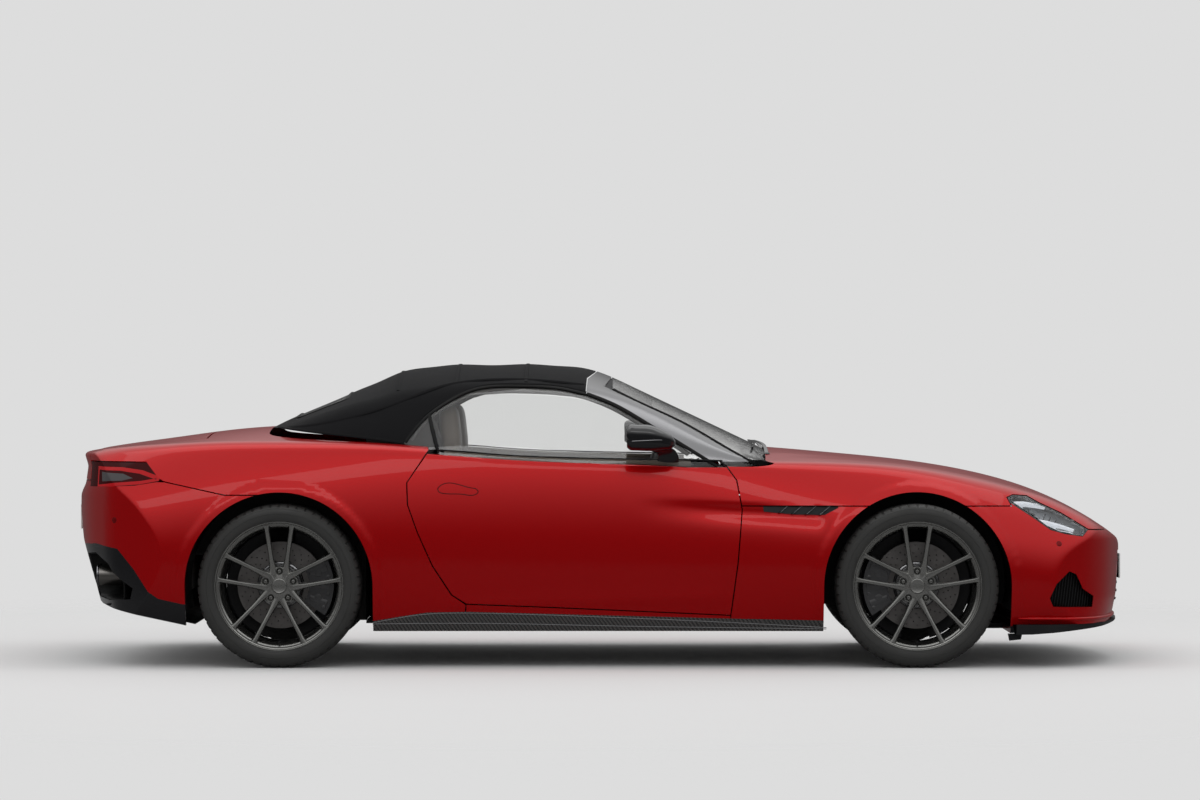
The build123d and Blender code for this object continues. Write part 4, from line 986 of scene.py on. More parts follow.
def make_rim(name, width, spoke_width):
    """A one-piece wheel: barrel, ten thin spokes in five V pairs, hub with bolt seats."""
    h = width / 2
    face = h - FACE_DEPTH
    outer = [(267, h - 22), (285, h - 22), (285, h - 14.2), (284, h - 12.4), (281.5, h - 12), (279, h - 12.8),
             (277, h - 15.5), (275.5, h - 21), (268, h - 25), (261, h - 33), (258, h - 52), (252, h - 76),
             (250, h - 90)]
    inner = [(250, -h + 60), (252, -h + 30), (262, -h + 20), (274, -h + 14), (282, -h + 12), (285, -h + 14),
             (285, -h + 22), (267, -h + 22), (262, -h + 40), (258, -h + 60), (256, h - 95), (263, h - 55),
             (266, h - 40)]
    rim = turned(outer + inner, name, n=144)
    hub = turned([(0, face - 44), (80, face - 44), (72, face - 18), (56, face - 12), (34.5, face - 9),
                  (34, face - 13), (0, face - 13)], "hub", n=60)
    cut(rim, hub, "UNION", keep=False)
    for k in range(BOLT_COUNT):
        vertex = math.radians(270 + 72 * k)
        for sign in (-1, 1):
            tip = vertex + sign * math.radians(SPOKE_SPLAY)
            root = vertex + sign * math.radians(7)
            start, end = [(r * math.cos(a), r * math.sin(a))
                          for r, a in ((HUB_RADIUS, root), (RIM_RADIUS, tip))]
            arm = spoke(start, end, face - 12, face + 13, spoke_width)
            cut(rim, arm, "UNION", keep=False)
        profile = [(0, face - 44), (22, face - 44), (21, face - 14), (19, face - 12), (0, face - 12)]
        boss = turned(profile, "boss", 28, centre=BOLT_SEATS[k])
        cut(rim, boss, "UNION", keep=False)
    for centre in BOLT_SEATS:
        pocket = turned([(0, face - 32), (15.5, face - 32), (16, face + 4), (0, face + 4)], "pocket", 28,
                        centre=centre)
        cut(rim, pocket, keep=False)
    return shade(rim, 28)


def make_bolts(name, width):
    """Wheel bolts, the plain centre cap and the valve."""
    face = width / 2 - FACE_DEPTH
    pieces = []
    for centre in BOLT_SEATS:
        pieces.append(turned([(0, face - 32.2), (14, face - 32.2), (13.4, face - 28), (9.6, face - 26),
                              (9.4, face - 16), (7.6, face - 13.4), (4.4, face - 12.8), (4.2, face - 15.5),
                              (0, face - 15.5)], "bolt", 12, centre=centre))
    cap = turned([(0, face - 13.2), (33.4, face - 13.2), (33.4, face - 8), (32, face - 5.8), (29, face - 5),
                  (27, face - 5.8), (0, face - 4.4)], "cap", 60)
    valve = turned([(0, face - 12), (5, face - 12), (5, face + 2), (3.4, face + 4), (3.4, face + 20),
                    (0, face + 20)], "valve", 16, centre=(0, 0, -246))
    paint(valve, FINISHES["satin_black"])
    for piece in pieces + [cap]:
        paint(piece, FINISHES["alloy"])
    return joined(name, pieces + [cap, valve])


VANE = ((-2.2, 0), (2.2, 0), (2.2, 14), (-2.2, 14))


def make_disc(name, width):
    """A drilled brake disc with vanes between its two faces, the same at every wheel."""
    low, high = -8.0, 22.0
    plates = []
    for a, b in ((low, low + 9), (high - 9, high)):
        profile = [(104, a), (191.2, a), (192, a + 0.8), (192, b - 0.8), (191.2, b), (104, b)]
        plates.append(turned(profile, "plate", 120))
    vanes = []
    for k in range(36):
        t = math.radians(10 * k)
        rows = []
        for r in (112, 186):
            c, s = math.cos(t + (r - 112) * 0.003), math.sin(t + (r - 112) * 0.003)
            rows.append([(r * c - q * s, v, r * s + q * c) for q, v in VANE])
        vanes.append(new_object("vane", *ring_mesh(np.array(rows, float))))
    holes = []
    for k in range(24):
        for j in range(4):
            t = math.radians(15 * k + 5.5 * j)
            r = 126 + 17 * j
            holes.append(turned([(0, low - 2), (3.1, low - 2), (3.1, high + 2), (0, high + 2)], "hole", 10,
                                centre=(r * math.cos(t), 0, r * math.sin(t))))
    drill = joined("drill", holes)
    disc = plates[0]
    cut(disc, plates[1], "UNION", keep=False)
    cut(disc, drill, keep=False)
    disc = joined(name, [disc] + vanes)
    return shade(disc, 30)


def make_hat(name, width):
    """The scalloped hat that carries the disc."""
    face = width / 2 - FACE_DEPTH
    back = face - 45.6
    hat = turned([(58.4, 24), (58.4, back), (88, back), (93, back - 4), (96, 26), (101, 23.5), (101, 22.4),
                  (92, 22.4)], "hat", 60)
    lugs = []
    for k in range(10):
        t = math.radians(36 * k)
        rows = []
        for r, q in ((97, 15), (108, 12.5), (113, 9)):
            rows.append([(r * math.cos(t) - w * math.sin(t), v, r * math.sin(t) + w * math.cos(t))
                         for w, v in ((-q, 22.2), (q, 22.2), (q, 25.5), (-q, 25.5))])
        lugs.append(new_object("lug", *ring_mesh(np.array(rows, float))))
        lugs.append(turned([(0, 25), (4.2, 25), (4.0, 29.5), (2.6, 30.2), (0, 30.2)], "pin", 10,
                           centre=(106 * math.cos(t), 0, 106 * math.sin(t))))
    return shade(joined(name, [hat] + lugs), 30)


CALIPER_SPAN = 33.0


def make_caliper(name, width, toward_x):
    """A dark six-piston caliper round the edge of the disc, with its bridge bolts and pipe."""
    face = width / 2 - FACE_DEPTH
    outer = min(face - 46, 57)
    pieces = []
    middle = 0.0 if toward_x > 0 else math.pi
    shells = ((-39, -15, 130, 226), (29, outer, 130, 226), (-39, outer, 200, 235))
    for k, (low, high, near, far) in enumerate(shells):
        rows = []
        for t in np.linspace(-1, 1, 26):
            a = middle + math.radians(CALIPER_SPAN) * t
            inside = near + (12 * t * t if k < 2 else 0)
            swell = 3.5 * math.cos(3 * math.pi * t) if k == 1 else 0.0
            outline = [(inside, low + 3), (inside + 3, low), (far - 5, low), (far, low + 5),
                       (far, high - 6 + swell), (far - 7, high + swell), (inside + 6, high + swell),
                       (inside, high - 5 + swell)]
            rows.append([(r * math.cos(a), u, r * math.sin(a)) for r, u in outline])
        pieces.append(new_object("side", *ring_mesh(np.array(rows, float))))
    for t in (-0.82, -0.30, 0.30, 0.82):
        a = middle + math.radians(CALIPER_SPAN) * t
        pieces.append(turned([(0, outer - 2), (8.5, outer - 2), (8.5, outer + 3), (6, outer + 4),
                              (0, outer + 4)], "bolt", 12,
                             centre=(214 * math.cos(a), 0, 214 * math.sin(a))))
    for t in (-0.55, 0.0, 0.55):
        a = middle + math.radians(CALIPER_SPAN) * t
        pieces.append(turned([(0, outer), (17, outer), (16, outer + 2.4), (13, outer + 3.4),
                              (0, outer + 3)], "piston", 26,
                             centre=(176 * math.cos(a), 0, 176 * math.sin(a))))
    pipe = [((236 - 8 * abs(t)) * math.cos(middle + math.radians(31 * t)), outer - 6 - 22 * (1 - t * t),
             (236 - 8 * abs(t)) * math.sin(middle + math.radians(31 * t))) for t in np.linspace(-1, 1, 18)]
    pieces.append(sweep("pipe", pipe, oval(4, 4, 8), up=(0, 1, 0)))
    return shade(joined(name, pieces), 32)


class CONVERTIBLE_OT_wheels(bpy.types.Operator):
    """Makes tyres, rims, brake discs and calipers"""
    bl_idname = "convertible.wheels"
    bl_label = "Wheels and brakes"

    def execute(self, context):
        sizes = settings()[1]
        f = FINISHES
        for corner, axle, side, width in WHEELS:
            wheel, carrier = "wheel_" + corner, ("steer_" + corner[6:] if "front" in corner else "body")
            toward = -1 if "front" in corner else 1
            shift = Matrix.Translation((axle * MM, side * (TYRE_FACE_Y - width / 2) * MM, WHEEL_Z * MM))
            pieces = [
                (make_tyre, "road_tyre_", wheel, "tyre", f["rubber"], ("tyre_",), (sizes.groove_depth / MM,)),
                (make_rim, "road_wheel_", wheel, "wheel_grey", f["alloy"], ("rim_",),
                 (sizes.spoke_width / MM,)),
                (make_bolts, "wheel_bolts_", wheel, "wheel_grey", None, (), ()),
                (make_disc, "brake_disc_", wheel, "disc_steel", f["iron"], ("disc_",), ()),
                (make_hat, "disc_hat_", wheel, "disc_steel", f["silver"], (), ()),
                (make_caliper, "caliper_", carrier, "suspension_alloy", f["caliper"], (), (toward,)),
            ]
            for maker, prefix, body, slot, material, nodes, extra in pieces:
                key = (prefix, width)
                if key in PARTS:
                    obj = duplicate(PARTS[key], prefix + corner)
                else:
                    obj = maker(prefix + corner, width, *extra)
                    PARTS[key] = duplicate(obj, "kept")
                if side < 0:
                    turn_over(obj)
                obj.data.transform(shift)
                if material is not None:
                    paint(obj, material)
                place(obj, body, slot, replaces=tuple(n + corner for n in nodes))
        for key in [k for k in PARTS if isinstance(k, tuple)]:
            discard(PARTS.pop(key))
        return {"FINISHED"}


# ---------------------------------------------------------------- roof, glass and their frames
PILLAR_UPPER = [(-41, 1266), (19, 1237), (161, 1169), (365, 1074), (621, 926), (700, 880)]
PILLAR_LOWER = [(560, 860), (466, 913), (323, 1001), (202, 1074), (60, 1156), (-55, 1200)]
HEADER_FRONT = [(52, 1400), (52, 1275), (19, 1237)]
HEADER_BACK = [(-55, 1200), (-62, 1206), (-55, 1270), (-14, 1302), (-14, 1400)]
WINDOW_TOP = [(-66, 1207), (-172, 1230), (-349, 1241), (-579, 1221), (-686, 1168), (-783, 1099), (-865, 988)]
ROOF_FOOT = [(-865, 984), (-1056, 1006), (-1348, 1038), (-1441, 1050), (-1640, 1038)]
GLASS_TOP = [(-172, 1222), (-349, 1233), (-575, 1213), (-681, 1162)]
DOOR_WINDOW = [(-750, 1108), (-712, 962), (-712, 880), (545, 880), (460, 905), (317, 993), (196, 1066),
               (55, 1147), (-61, 1191)] + [(x, z - 8) for x, z in GLASS_TOP]
QUARTER_GLASS = [(-727, 958), (-755, 958), (-866, 983), (-784, 1094), (-764, 1104)]
REAR_WINDOW_X, REAR_WINDOW_HALF = (-1372.0, -1130.0), 425.0
WINDOW_Z = (900, 1400)  # below and above the rear window, for the solids that cut it
CLOTH, GLASS = 12.0, 5.0
SCREEN_FOOT_Z, PILLAR_FOOT_Z, BELT_OUT = 911.3, 905.0, 6.0
BOWS = (-60.0, -330.0, -640.0, -900.0, -1125.0)


def cabin_solid(name, inset, step, sag):
    """The volume inside the glass and the roof. With a sag, the cloth dips between its bows."""
    points, faces = cabin_mesh_data(inset, step)
    if sag:
        x, y, z = points.T
        for front, back in zip(BOWS, BOWS[1:]):
            inside = (x < front) & (x > back)
            dip = sag * np.sin(math.pi * (front - x) / (front - back)) ** 2
            z = z - np.where(inside, dip, 0) * smooth_step(1010, 1130, z)
        points = np.column_stack((x, y, z))
    return new_object(name, points, faces)


def cabin_piece(name, outer_inset, thick, zones, less=(), sag=0.0, step=14.0):
    """A piece of the cabin's surface: a shell of one thickness inside each zone in turn."""
    piece = cabin_solid(name, outer_inset, step, sag)
    hollow = cabin_solid("hollow", outer_inset + thick, 22.0, sag)
    cut(piece, hollow, keep=False)
    for zone in zones:
        cut(piece, zone, "INTERSECT", keep=False)
    for zone in less:
        cut(piece, zone, keep=False)
    return shade(piece, 30)


def on_cabin(x, z=None, y=None, inset=0.0):
    """A place on the cabin's surface at x, given its height, or its distance from the middle."""
    half = cabin_half(x, inset, 60)[5:]
    if z is not None:
        k = np.argmax(half[:, 1])
        side = half[:k + 1]
        return np.array((x, float(np.interp(z, side[:, 1], side[:, 0])), z))
    order = half[::-1]
    order = order[:np.argmax(order[:, 0]) + 1]
    return np.array((x, y, float(np.interp(y, order[:, 0], order[:, 1]))))


def cabin_strip(name, path, width, height, side, lift, n):
    """A strip that lies on the cabin's surface along a path given as (x, z)."""
    path = resample(smooth_path(path, 4 * n), n)
    places = np.array([on_cabin(x, z=z, inset=-lift) for x, z in path])
    places[:, 1] *= side
    away = places * (0, 1, 1) - np.array((0, 0, CABIN_CORE_Z))
    away /= np.linalg.norm(away, axis=1)[:, None]
    return sweep(name, places, oval(width, height, 12, 0.7), up=away)


def below(z):
    """Everything under a height."""
    return block(-2400, 2400, -OUTSIDE_Y, OUTSIDE_Y, 0, z)


class CONVERTIBLE_OT_roof(bpy.types.Operator):
    """Makes the raised fabric roof with its seams and its lining, and the rear window's opening and seal"""
    bl_idname = "convertible.roof"
    bl_label = "Fabric roof"

    def execute(self, context):
        f, seam = FINISHES, settings()[1].seam_height / MM
        window = block(*REAR_WINDOW_X, -REAR_WINDOW_HALF, REAR_WINDOW_HALF, *WINDOW_Z)
        outline = ([(-20, 1400), (-20, 1300), (-61, 1272), (-68, 1210)] + WINDOW_TOP + ROOF_FOOT
                   + [(-1640, 1400)])
        cloth = cabin_piece("soft_top_cloth", 0, CLOTH, [whole(outline)], [window], sag=5.0, step=11.0)
        seams = []
        for side in (-1, 1):
            line = [(-70, 1243), (-250, 1262), (-500, 1266), (-700, 1238), (-900, 1165), (-1117, 1098),
                    (-1330, 1058), (-1440, 1052)]
            seams.append(cabin_strip("seam", line, 15, 2 * seam, side, lift=0.4, n=80))
            edge = [(-68, 1213), (-172, 1236), (-349, 1247), (-572, 1228), (-684, 1174), (-783, 1105),
                    (-862, 995)]
            seams.append(cabin_strip("edge", edge, 9, 5, side, lift=0.5, n=70))
            foot = [(-868, 988), (-1056, 1012), (-1348, 1044), (-1436, 1056)]
            seams.append(cabin_strip("foot", foot, 13, 6, side, lift=0.5, n=60))
        for x in BOWS[1:4]:
            ys = np.linspace(-600, 600, 60)
            path = [on_cabin(x, y=abs(y), inset=-0.3) * (1, math.copysign(1, y) if y else 1, 1) for y in ys]
            seams.append(sweep("bow_seam", np.array(path), oval(16, 2 * seam, 10, 0.7), up=(0, 0, 1)))
        seams = joined("roof_seams", seams)
        frame_path = []
        for x, y in ((-1366, 0), (-1366, 300), (-1360, 400), (-1345, 419), (-1250, 421), (-1155, 419),
                     (-1140, 405), (-1136, 300), (-1136, 0)):
            frame_path.append(on_cabin(x, y=y, inset=-1.0))
        frame_path = np.array(frame_path)
        loop = np.vstack((frame_path, frame_path[1:-1][::-1] * (1, -1, 1)))
        surround = sweep("rear_window_seal", resample(np.vstack((loop, loop[:1])), 161)[:-1],
                         oval(16, 6, 10, 0.7), closed=True)
        place(cloth, "body", "roof_cloth", f["cloth"], replaces=("soft_top",))
        place(seams, "body", "roof_cloth", f["cloth"])
        place(surround, "body", "roof_cloth", f["seal"])
        lining = cabin_piece("roof_lining", CLOTH + 6, 3, [whole(outline)],
                             [block(-1400, -1100, -450, 450, *WINDOW_Z)], step=26.0)
        place(lining, "body", "roof_cloth", f["trim_leather"])
        return {"FINISHED"}


class CONVERTIBLE_OT_glazing(bpy.types.Operator):
    """Makes the windscreen with its frame, the side windows and their seals"""
    bl_idname = "convertible.glazing"
    bl_label = "Glass and frames"

    def execute(self, context):
        f = FINISHES
        pane = cabin_piece("door_window_right", 1, GLASS - 1, [prism(DOOR_WINDOW, -OUTSIDE_Y, -600)],
                           step=20.0)
        place(mirrored(pane, "door_window_left"), "door_left", "clear_glass", f["side_glass"],
              replaces=("door_glass_left",))
        place(pane, "door_right", "clear_glass", f["side_glass"], replaces=("door_glass_right",))
        rear = block(REAR_WINDOW_X[0] + 1, REAR_WINDOW_X[1] - 1, -REAR_WINDOW_HALF + 1, REAR_WINDOW_HALF - 1,
                     *WINDOW_Z)
        zone = joined("zone", [rear, side_pair(QUARTER_GLASS, 600)])
        quarter = cabin_piece("rear_windows", 1, GLASS - 1, [zone], step=20.0)
        place(quarter, "body", "clear_glass", f["side_glass"], replaces=("rear_glass",))
        edge = [(x, z + 0.5) for x, z in PILLAR_UPPER]
        screen_zone = whole([(56, 1400), (56, 1280), (56, 1224)] + edge[2:] + [(900, 860), (900, 1400)])
        screen = cabin_piece("windscreen_pane", 1, GLASS - 1, [screen_zone], [below(SCREEN_FOOT_Z)],
                             step=20.0)
        place(screen, "body", "clear_glass", f["screen_glass"], replaces=("windscreen",))
        band = whole(PILLAR_UPPER + PILLAR_LOWER)
        cut(band, whole(HEADER_FRONT + HEADER_BACK), "UNION", keep=False)
        frame_piece = cabin_piece("windscreen_pillars", 0, 30, [band], [below(PILLAR_FOOT_Z)])
        place(frame_piece, "body", "pillar_silver", f["silver"], replaces=("windscreen_frame",))
        seals = []
        for side in (-1, 1):
            lower = [(-58, 1204), (60, 1157), (202, 1076), (323, 1003), (455, 922), (520, 882)]
            seals.append(cabin_strip("seal", lower, 17, 9, side, lift=0.5, n=60))
            upper = [(60, 1224), (161, 1173), (365, 1078), (600, 943), (668, 906)]
            seals.append(cabin_strip("seal", upper, 11, 6, side, lift=-0.5, n=60))
            top = [(-64, 1202), (-172, 1226), (-349, 1237), (-577, 1217), (-684, 1163), (-778, 1092),
                   (-860, 990)]
            seals.append(cabin_strip("seal", top, 15, 9, side, lift=-1, n=80))
        seals = joined("window_seals", seals)
        place(seals, "body", "gloss_black", f["seal"])
        for name, side in SIDES:
            belt = [(-716, 957), (-600, 949), (-397, 933), (-150, 923), (100, 917), (397, 913), (540, 910)]
            strip = belt_strip("belt_seal_" + name, belt, side, 13, 6)
            place(strip, "door_" + name, "gloss_black", f["satin_black"])
            upright = [(-757, 1108), (-738, 1030), (-719, 962)]
            bar = cabin_strip("window_bar_" + name, upright, 18, 8, side, lift=0, n=20)
            place(bar, "door_" + name, "gloss_black", f["seal"])
        place(make_cowl("cowl_cover"), "body", "gloss_black", f["satin_black"])
        place(make_wipers("wipers"), "body", "gloss_black", f["gloss_black"])
        return {"FINISHED"}


def belt_strip(name, path, side, width, height):
    """A finisher along the top edge of a door, just outside the glass."""
    path = resample(smooth_path(path, 200), 70)
    places = np.array([on_cabin(x, z=z) for x, z in path])
    places[:, 1] = (places[:, 1] + BELT_OUT) * side
    return sweep(name, places, oval(width, height, 12, 0.6), up=(0, 0, 1))


COWL_HALF = 690  # half the width of the scuttle


def make_cowl(name):
    """The black scuttle under the windscreen, slotted for air."""
    pieces = []
    for k in range(9):
        ys = np.linspace(-COWL_HALF, COWL_HALF, 50)
        path = np.array([(700 + 13 * k - 0.00012 * y * y, y, 921 - 2.2 * k - 0.000055 * y * y) for y in ys])
        pieces.append(sweep("slat", path, oval(9, 5, 8, 0.7), up=(0, 0, 1)))
    return joined(name, pieces)


def make_wipers(name):
    """Two parked wipers with their arms, blades and spindles."""
    pieces = []
    for pivot_y, tip_y in ((-560, 60), (60, 640)):
        ys = np.linspace(pivot_y, tip_y, 30)
        blade = []
        for y in ys:
            x = 640 + 0.00016 * (COWL_HALF ** 2 - y * y) * 0.45 + 30
            blade.append(on_cabin(min(x, 760), y=abs(y), inset=-9.0) * (1, math.copysign(1, y), 1))
        blade = np.array(blade)
        pieces.append(sweep("blade", blade, oval(9, 16, 10, 0.8), up=(0, 0, 1)))
        start = np.array((745.0, pivot_y, 935.0))
        middle = (start + blade[16]) / 2 + np.array((14, 0, 16))
        arm = smooth_path([start, middle, blade[16] + np.array((0, 0, 12))], 24)
        pieces.append(sweep("arm", arm, oval(16, 9, 10, 0.8), up=(0, 0, 1), sizes=np.linspace(1.3, 0.7, 24)))
        spindle = [(0, -14), (15, -14), (15, 6), (10, 11), (0, 12)]
        cap = turned(spindle, "spindle", 24)
        upright = Matrix.Rotation(math.radians(90), 4, "X")
        cap.data.transform(Matrix.Translation((0.745, pivot_y * MM, 0.930)) @ upright)
        pieces.append(cap)
    return joined(name, pieces)


# ---------------------------------------------------------------- mirrors
MIRROR_STATIONS = [  # x, middle z, half height, outer y, inner y
    (118, 1014, 44, 1048, 912), (126, 1015, 53, 1054, 905), (150, 1014, 58, 1057, 901),
    (200, 1012, 58, 1057, 900), (250, 1007, 51, 1051, 902), (292, 999, 38, 1034, 908),
    (318, 992, 25, 1009, 918), (330, 988, 10, 985, 936),
]


MIRROR_MIDDLE = (982, 1014)  # y and z of the mirror's face


def mirror_disc(name, xs, width, height, side):
    """A flat oval across the mirror's head, between the first and the last x."""
    rows = []
    for x in xs:
        ring = oval(width, height, 40, 0.72) + MIRROR_MIDDLE
        rows.append(np.column_stack((np.full(40, x), side * ring[:, 0], ring[:, 1])))
    return new_object(name, *ring_mesh(np.array(rows, float)))


def make_mirror(name, side):
    """A mirror's head, hollowed for its face, with its foot and its bright strip."""
    rows = []
    curves = [spline(MIRROR_STATIONS, k) for k in range(1, 5)]
    for x in np.linspace(118, 330, 34):
        mid, half, outer, inner = (float(c(x)) for c in curves)
        ring = oval(1, 1, 40, 0.72)
        ring = ring * (abs(outer - inner), 2 * half) + ((outer + inner) / 2, mid)
        crease = np.exp(-((ring[:, 1] - (mid - 6)) / 7.0) ** 2) * (ring[:, 0] > (outer + inner) / 2) * 3.0
        rows.append(np.column_stack((np.full(40, x), side * (ring[:, 0] - crease), ring[:, 1])))
    head = new_object(name, *ring_mesh(np.array(rows)))
    cut(head, mirror_disc("hollow", (110, 124), 132, 84, side), keep=False)
    paint(head, FINISHES["gloss_black"])
    foot = smooth_path([(236, side * 960, 972), (262, side * 930, 958), (290, side * 905, 944),
                        (300, side * 890, 925), (300, side * 876, 908)], 30)
    foot = sweep("foot", foot, oval(20, 96, 24, 0.8), up=(1, 0, 0), sizes=np.linspace(0.62, 1.0, 30))
    paint(foot, FINISHES["gloss_black"])
    face = paint(mirror_disc("face", (119.5, 122.5), 130, 82, side), FINISHES["mirror"])
    line = smooth_path([(140, side * 1055, 998), (200, side * 1057, 1001), (262, side * 1045, 1003),
                        (306, side * 1012, 1000)], 30)
    strip = paint(sweep("strip", line, oval(5, 5, 8), up=(0, 0, 1)), FINISHES["silver"])
    return joined(name, [head, foot, face, strip])


class CONVERTIBLE_OT_mirrors(bpy.types.Operator):
    """Makes the door mirrors"""
    bl_idname = "convertible.mirrors"
    bl_label = "Mirrors"

    def execute(self, context):
        for name, side in SIDES:
            mirror = make_mirror("door_mirror_" + name, side)
            place(mirror, "door_" + name, "gloss_black", replaces=("mirror_" + name,))
        return {"FINISHED"}


# ---------------------------------------------------------------- lamps, vents and small things on the body
SKIRT = [(-1010, 160), (-1010, 202.7), (-880, 225), (-760, 243), (-594, 246), (-587.5, 246.5),
         (-587.5, 277.5), (-220, 262.9), (573.2, 227.9), (573.2, 216), (1000, 208), (1000, 160)]
SKIRT_DARK = [(-1020, 100), (-1020, 202.7), (-880, 225), (-760, 243), (-594, 246), (-570, 246), (0, 231),
              (574, 216), (1000, 208), (1010, 208), (1010, 100)]
TAIL_LOOP = [(-1058, 884), (-905, 880), (-820, 867), (-738, 838), (-722, 826), (-800, 806), (-950, 792),
             (-1062, 786)]
TAIL_SMOKE = [(-1012, 860), (-885, 852), (-838, 833), (-872, 822), (-1005, 817)]
EXHAUST_HOLE = [(470, 345), (500, 488), (700, 500), (830, 458), (925, 350), (915, 300), (800, 292),
                (520, 303)]
HANDLE = [(-704, 799), (-560, 790), (-541, 784), (-536, 773), (-548, 762), (-600, 762.5), (-690, 767),
          (-709, 775), (-713, 787)]
SENSORS = ((-2140, 648), (2020, 545))
TIP_BACK_X, TIP_Y, TIP_Z = -2236.0, (560, 660), 395.0  # the back ends of the exhaust tips
TIP_LIP = [(46, 0), (48.5, 2), (49.5, 6), (48.5, 10), (46, 11.5), (42.5, 9), (41.5, 2), (43, -1)]
LIP_Z, LIP_FRONT_LIMIT = 212.0, 2362.0
WING_RADIUS = 426.0


def body_solid(name, inset):
    """The body's volume without its fine details, drawn in by an inset."""
    return new_object(name, *body_mesh_data(inset, 26.0, (5, 34, 7, 24), 16, details=False))


def shrunk(table, by):
    """An outline drawn in by a distance."""
    p = np.asarray(table, float)
    before, after = np.roll(p, 1, axis=0), np.roll(p, -1, axis=0)
    turn = np.sign(np.sum(p[:, 0] * after[:, 1] - after[:, 0] * p[:, 1]))
    a, b = p - before, after - p
    a = np.column_stack((-a[:, 1], a[:, 0])) / np.linalg.norm(a, axis=1)[:, None] * turn
    b = np.column_stack((-b[:, 1], b[:, 0])) / np.linalg.norm(b, axis=1)[:, None] * turn
    share = np.maximum(1 + np.sum(a * b, axis=1), 0.4)[:, None]
    return (p + by * (a + b) / share).tolist()


def surface_at(x, z, side, lift=0.0):
    """A place on the body seen from the side, and the way that the surface faces there."""
    hit, normal = PARTS["tree"].ray_cast(Vector((x * MM, side * 1.3, z * MM)), Vector((0, -side, 0)))[:2]
    if normal.y * side < 0:
        normal = -normal
    return np.array(hit) / MM + np.array(normal) * lift, np.array(normal)


def side_line(name, path, section, side, lift=0.0, n=60, closed=False, sizes=None):
    """A strip that lies on the body's side along a path given as (x, z)."""
    run = smooth_path(path, 4 * n, closed)
    if closed:
        run = np.vstack((run, run[:1]))
    run = resample(run, n + closed)[:n]
    found = [surface_at(x, z, side, lift) for x, z in run]
    return sweep(name, np.array([p for p, _ in found]), section, closed=closed, sizes=sizes,
                 up=np.array([v for _, v in found]))


def corner_prism(table):
    """The solid with an outline seen from the tail's right corner, columns: place along the corner, z."""
    piece = prism(table, -2500, -1700)
    piece.data.transform(Matrix.Rotation(math.radians(-45), 4, "Z"))
    return piece


def aimed(piece, centre, direction):
    """Moves a piece made about the Y axis so that it points along a direction."""
    turn = Vector((0, 1, 0)).rotation_difference(Vector(direction).normalized()).to_matrix().to_4x4()
    piece.data.transform(Matrix.Translation(Vector(centre) * MM) @ turn)
    return piece


def make_headlamps():
    """The lamps' clear covers with black borders, over bowls with light guides, lenses and ribs."""
    f = FINISHES
    zone, window = side_pair(LAMP_FRONT, 300), side_pair(shrunk(LAMP_FRONT, 4.5), 290)
    under, deep, back = body_solid("under", 4), body_solid("deep", 58), body_solid("back", 64)
    border = duplicate(PARTS["outer"], "border")
    cut(border, zone, "INTERSECT")
    cut(border, under)
    clear = duplicate(border, "clear")
    cut(border, window)
    cut(clear, window, "INTERSECT")
    bowl = duplicate(under, "bowl")
    cut(bowl, zone, "INTERSECT")
    cut(bowl, back)
    room = duplicate(window, "room")
    cut(room, deep)
    cut(bowl, room, keep=False)
    discard(zone, window, under, deep, back)
    paint(border, f["gloss_black"])
    paint(bowl, f["lamp_bowl"])
    pieces = [border, bowl]
    for side in (-1, 1):
        for path, wide in (([(1826, 726), (1880, 729), (1930, 722), (1976, 712)], 15),
                           ([(1915, 652), (1965, 646), (2030, 632), (2098, 612)], 16)):
            blade = side_line("blade", path, oval(wide, 26, 12, 0.5), side, lift=-20, n=40,
                              sizes=np.linspace(1.15, 0.55, 40))
            pieces.append(paint(blade, f["lamp_white"]))
        spot, _ = surface_at(1893, 679, side, -44)
        rings = [(0, -26), (29, -26), (31, -4), (31, 4), (28, 8), (26, 5), (25, 5)]
        dome = [(25 * math.cos(t), 5 + 11 * math.sin(t)) for t in np.linspace(0.1, math.pi / 2, 8)]
        ahead = (0.72, side * 0.66, 0.12)
        holder = aimed(turned(rings + [(0, 5)], "holder", 48), spot, ahead)
        lens = aimed(turned([(0, 5.2)] + [(r, v + 0.3) for r, v in dome], "lens", 48), spot, ahead)
        pieces += [paint(holder, f["chrome"]), paint(lens, f["lamp_glass"])]
        for k in range(5):
            x = 1965 + 24 * k
            line = [(x, 664 - 0.36 * (x - 1965)), (x + 14, 690 - 0.55 * (x - 1965))]
            rib = side_line("rib", line, oval(4, 16, 8), side, lift=-34, n=8)
            pieces.append(paint(rib, f["chrome"]))
    place(joined("headlamp_units", pieces), "body", "lamp_glass")
    place(clear, "body", "lamp_glass", f["lamp_clear"], replaces=("headlamps",))


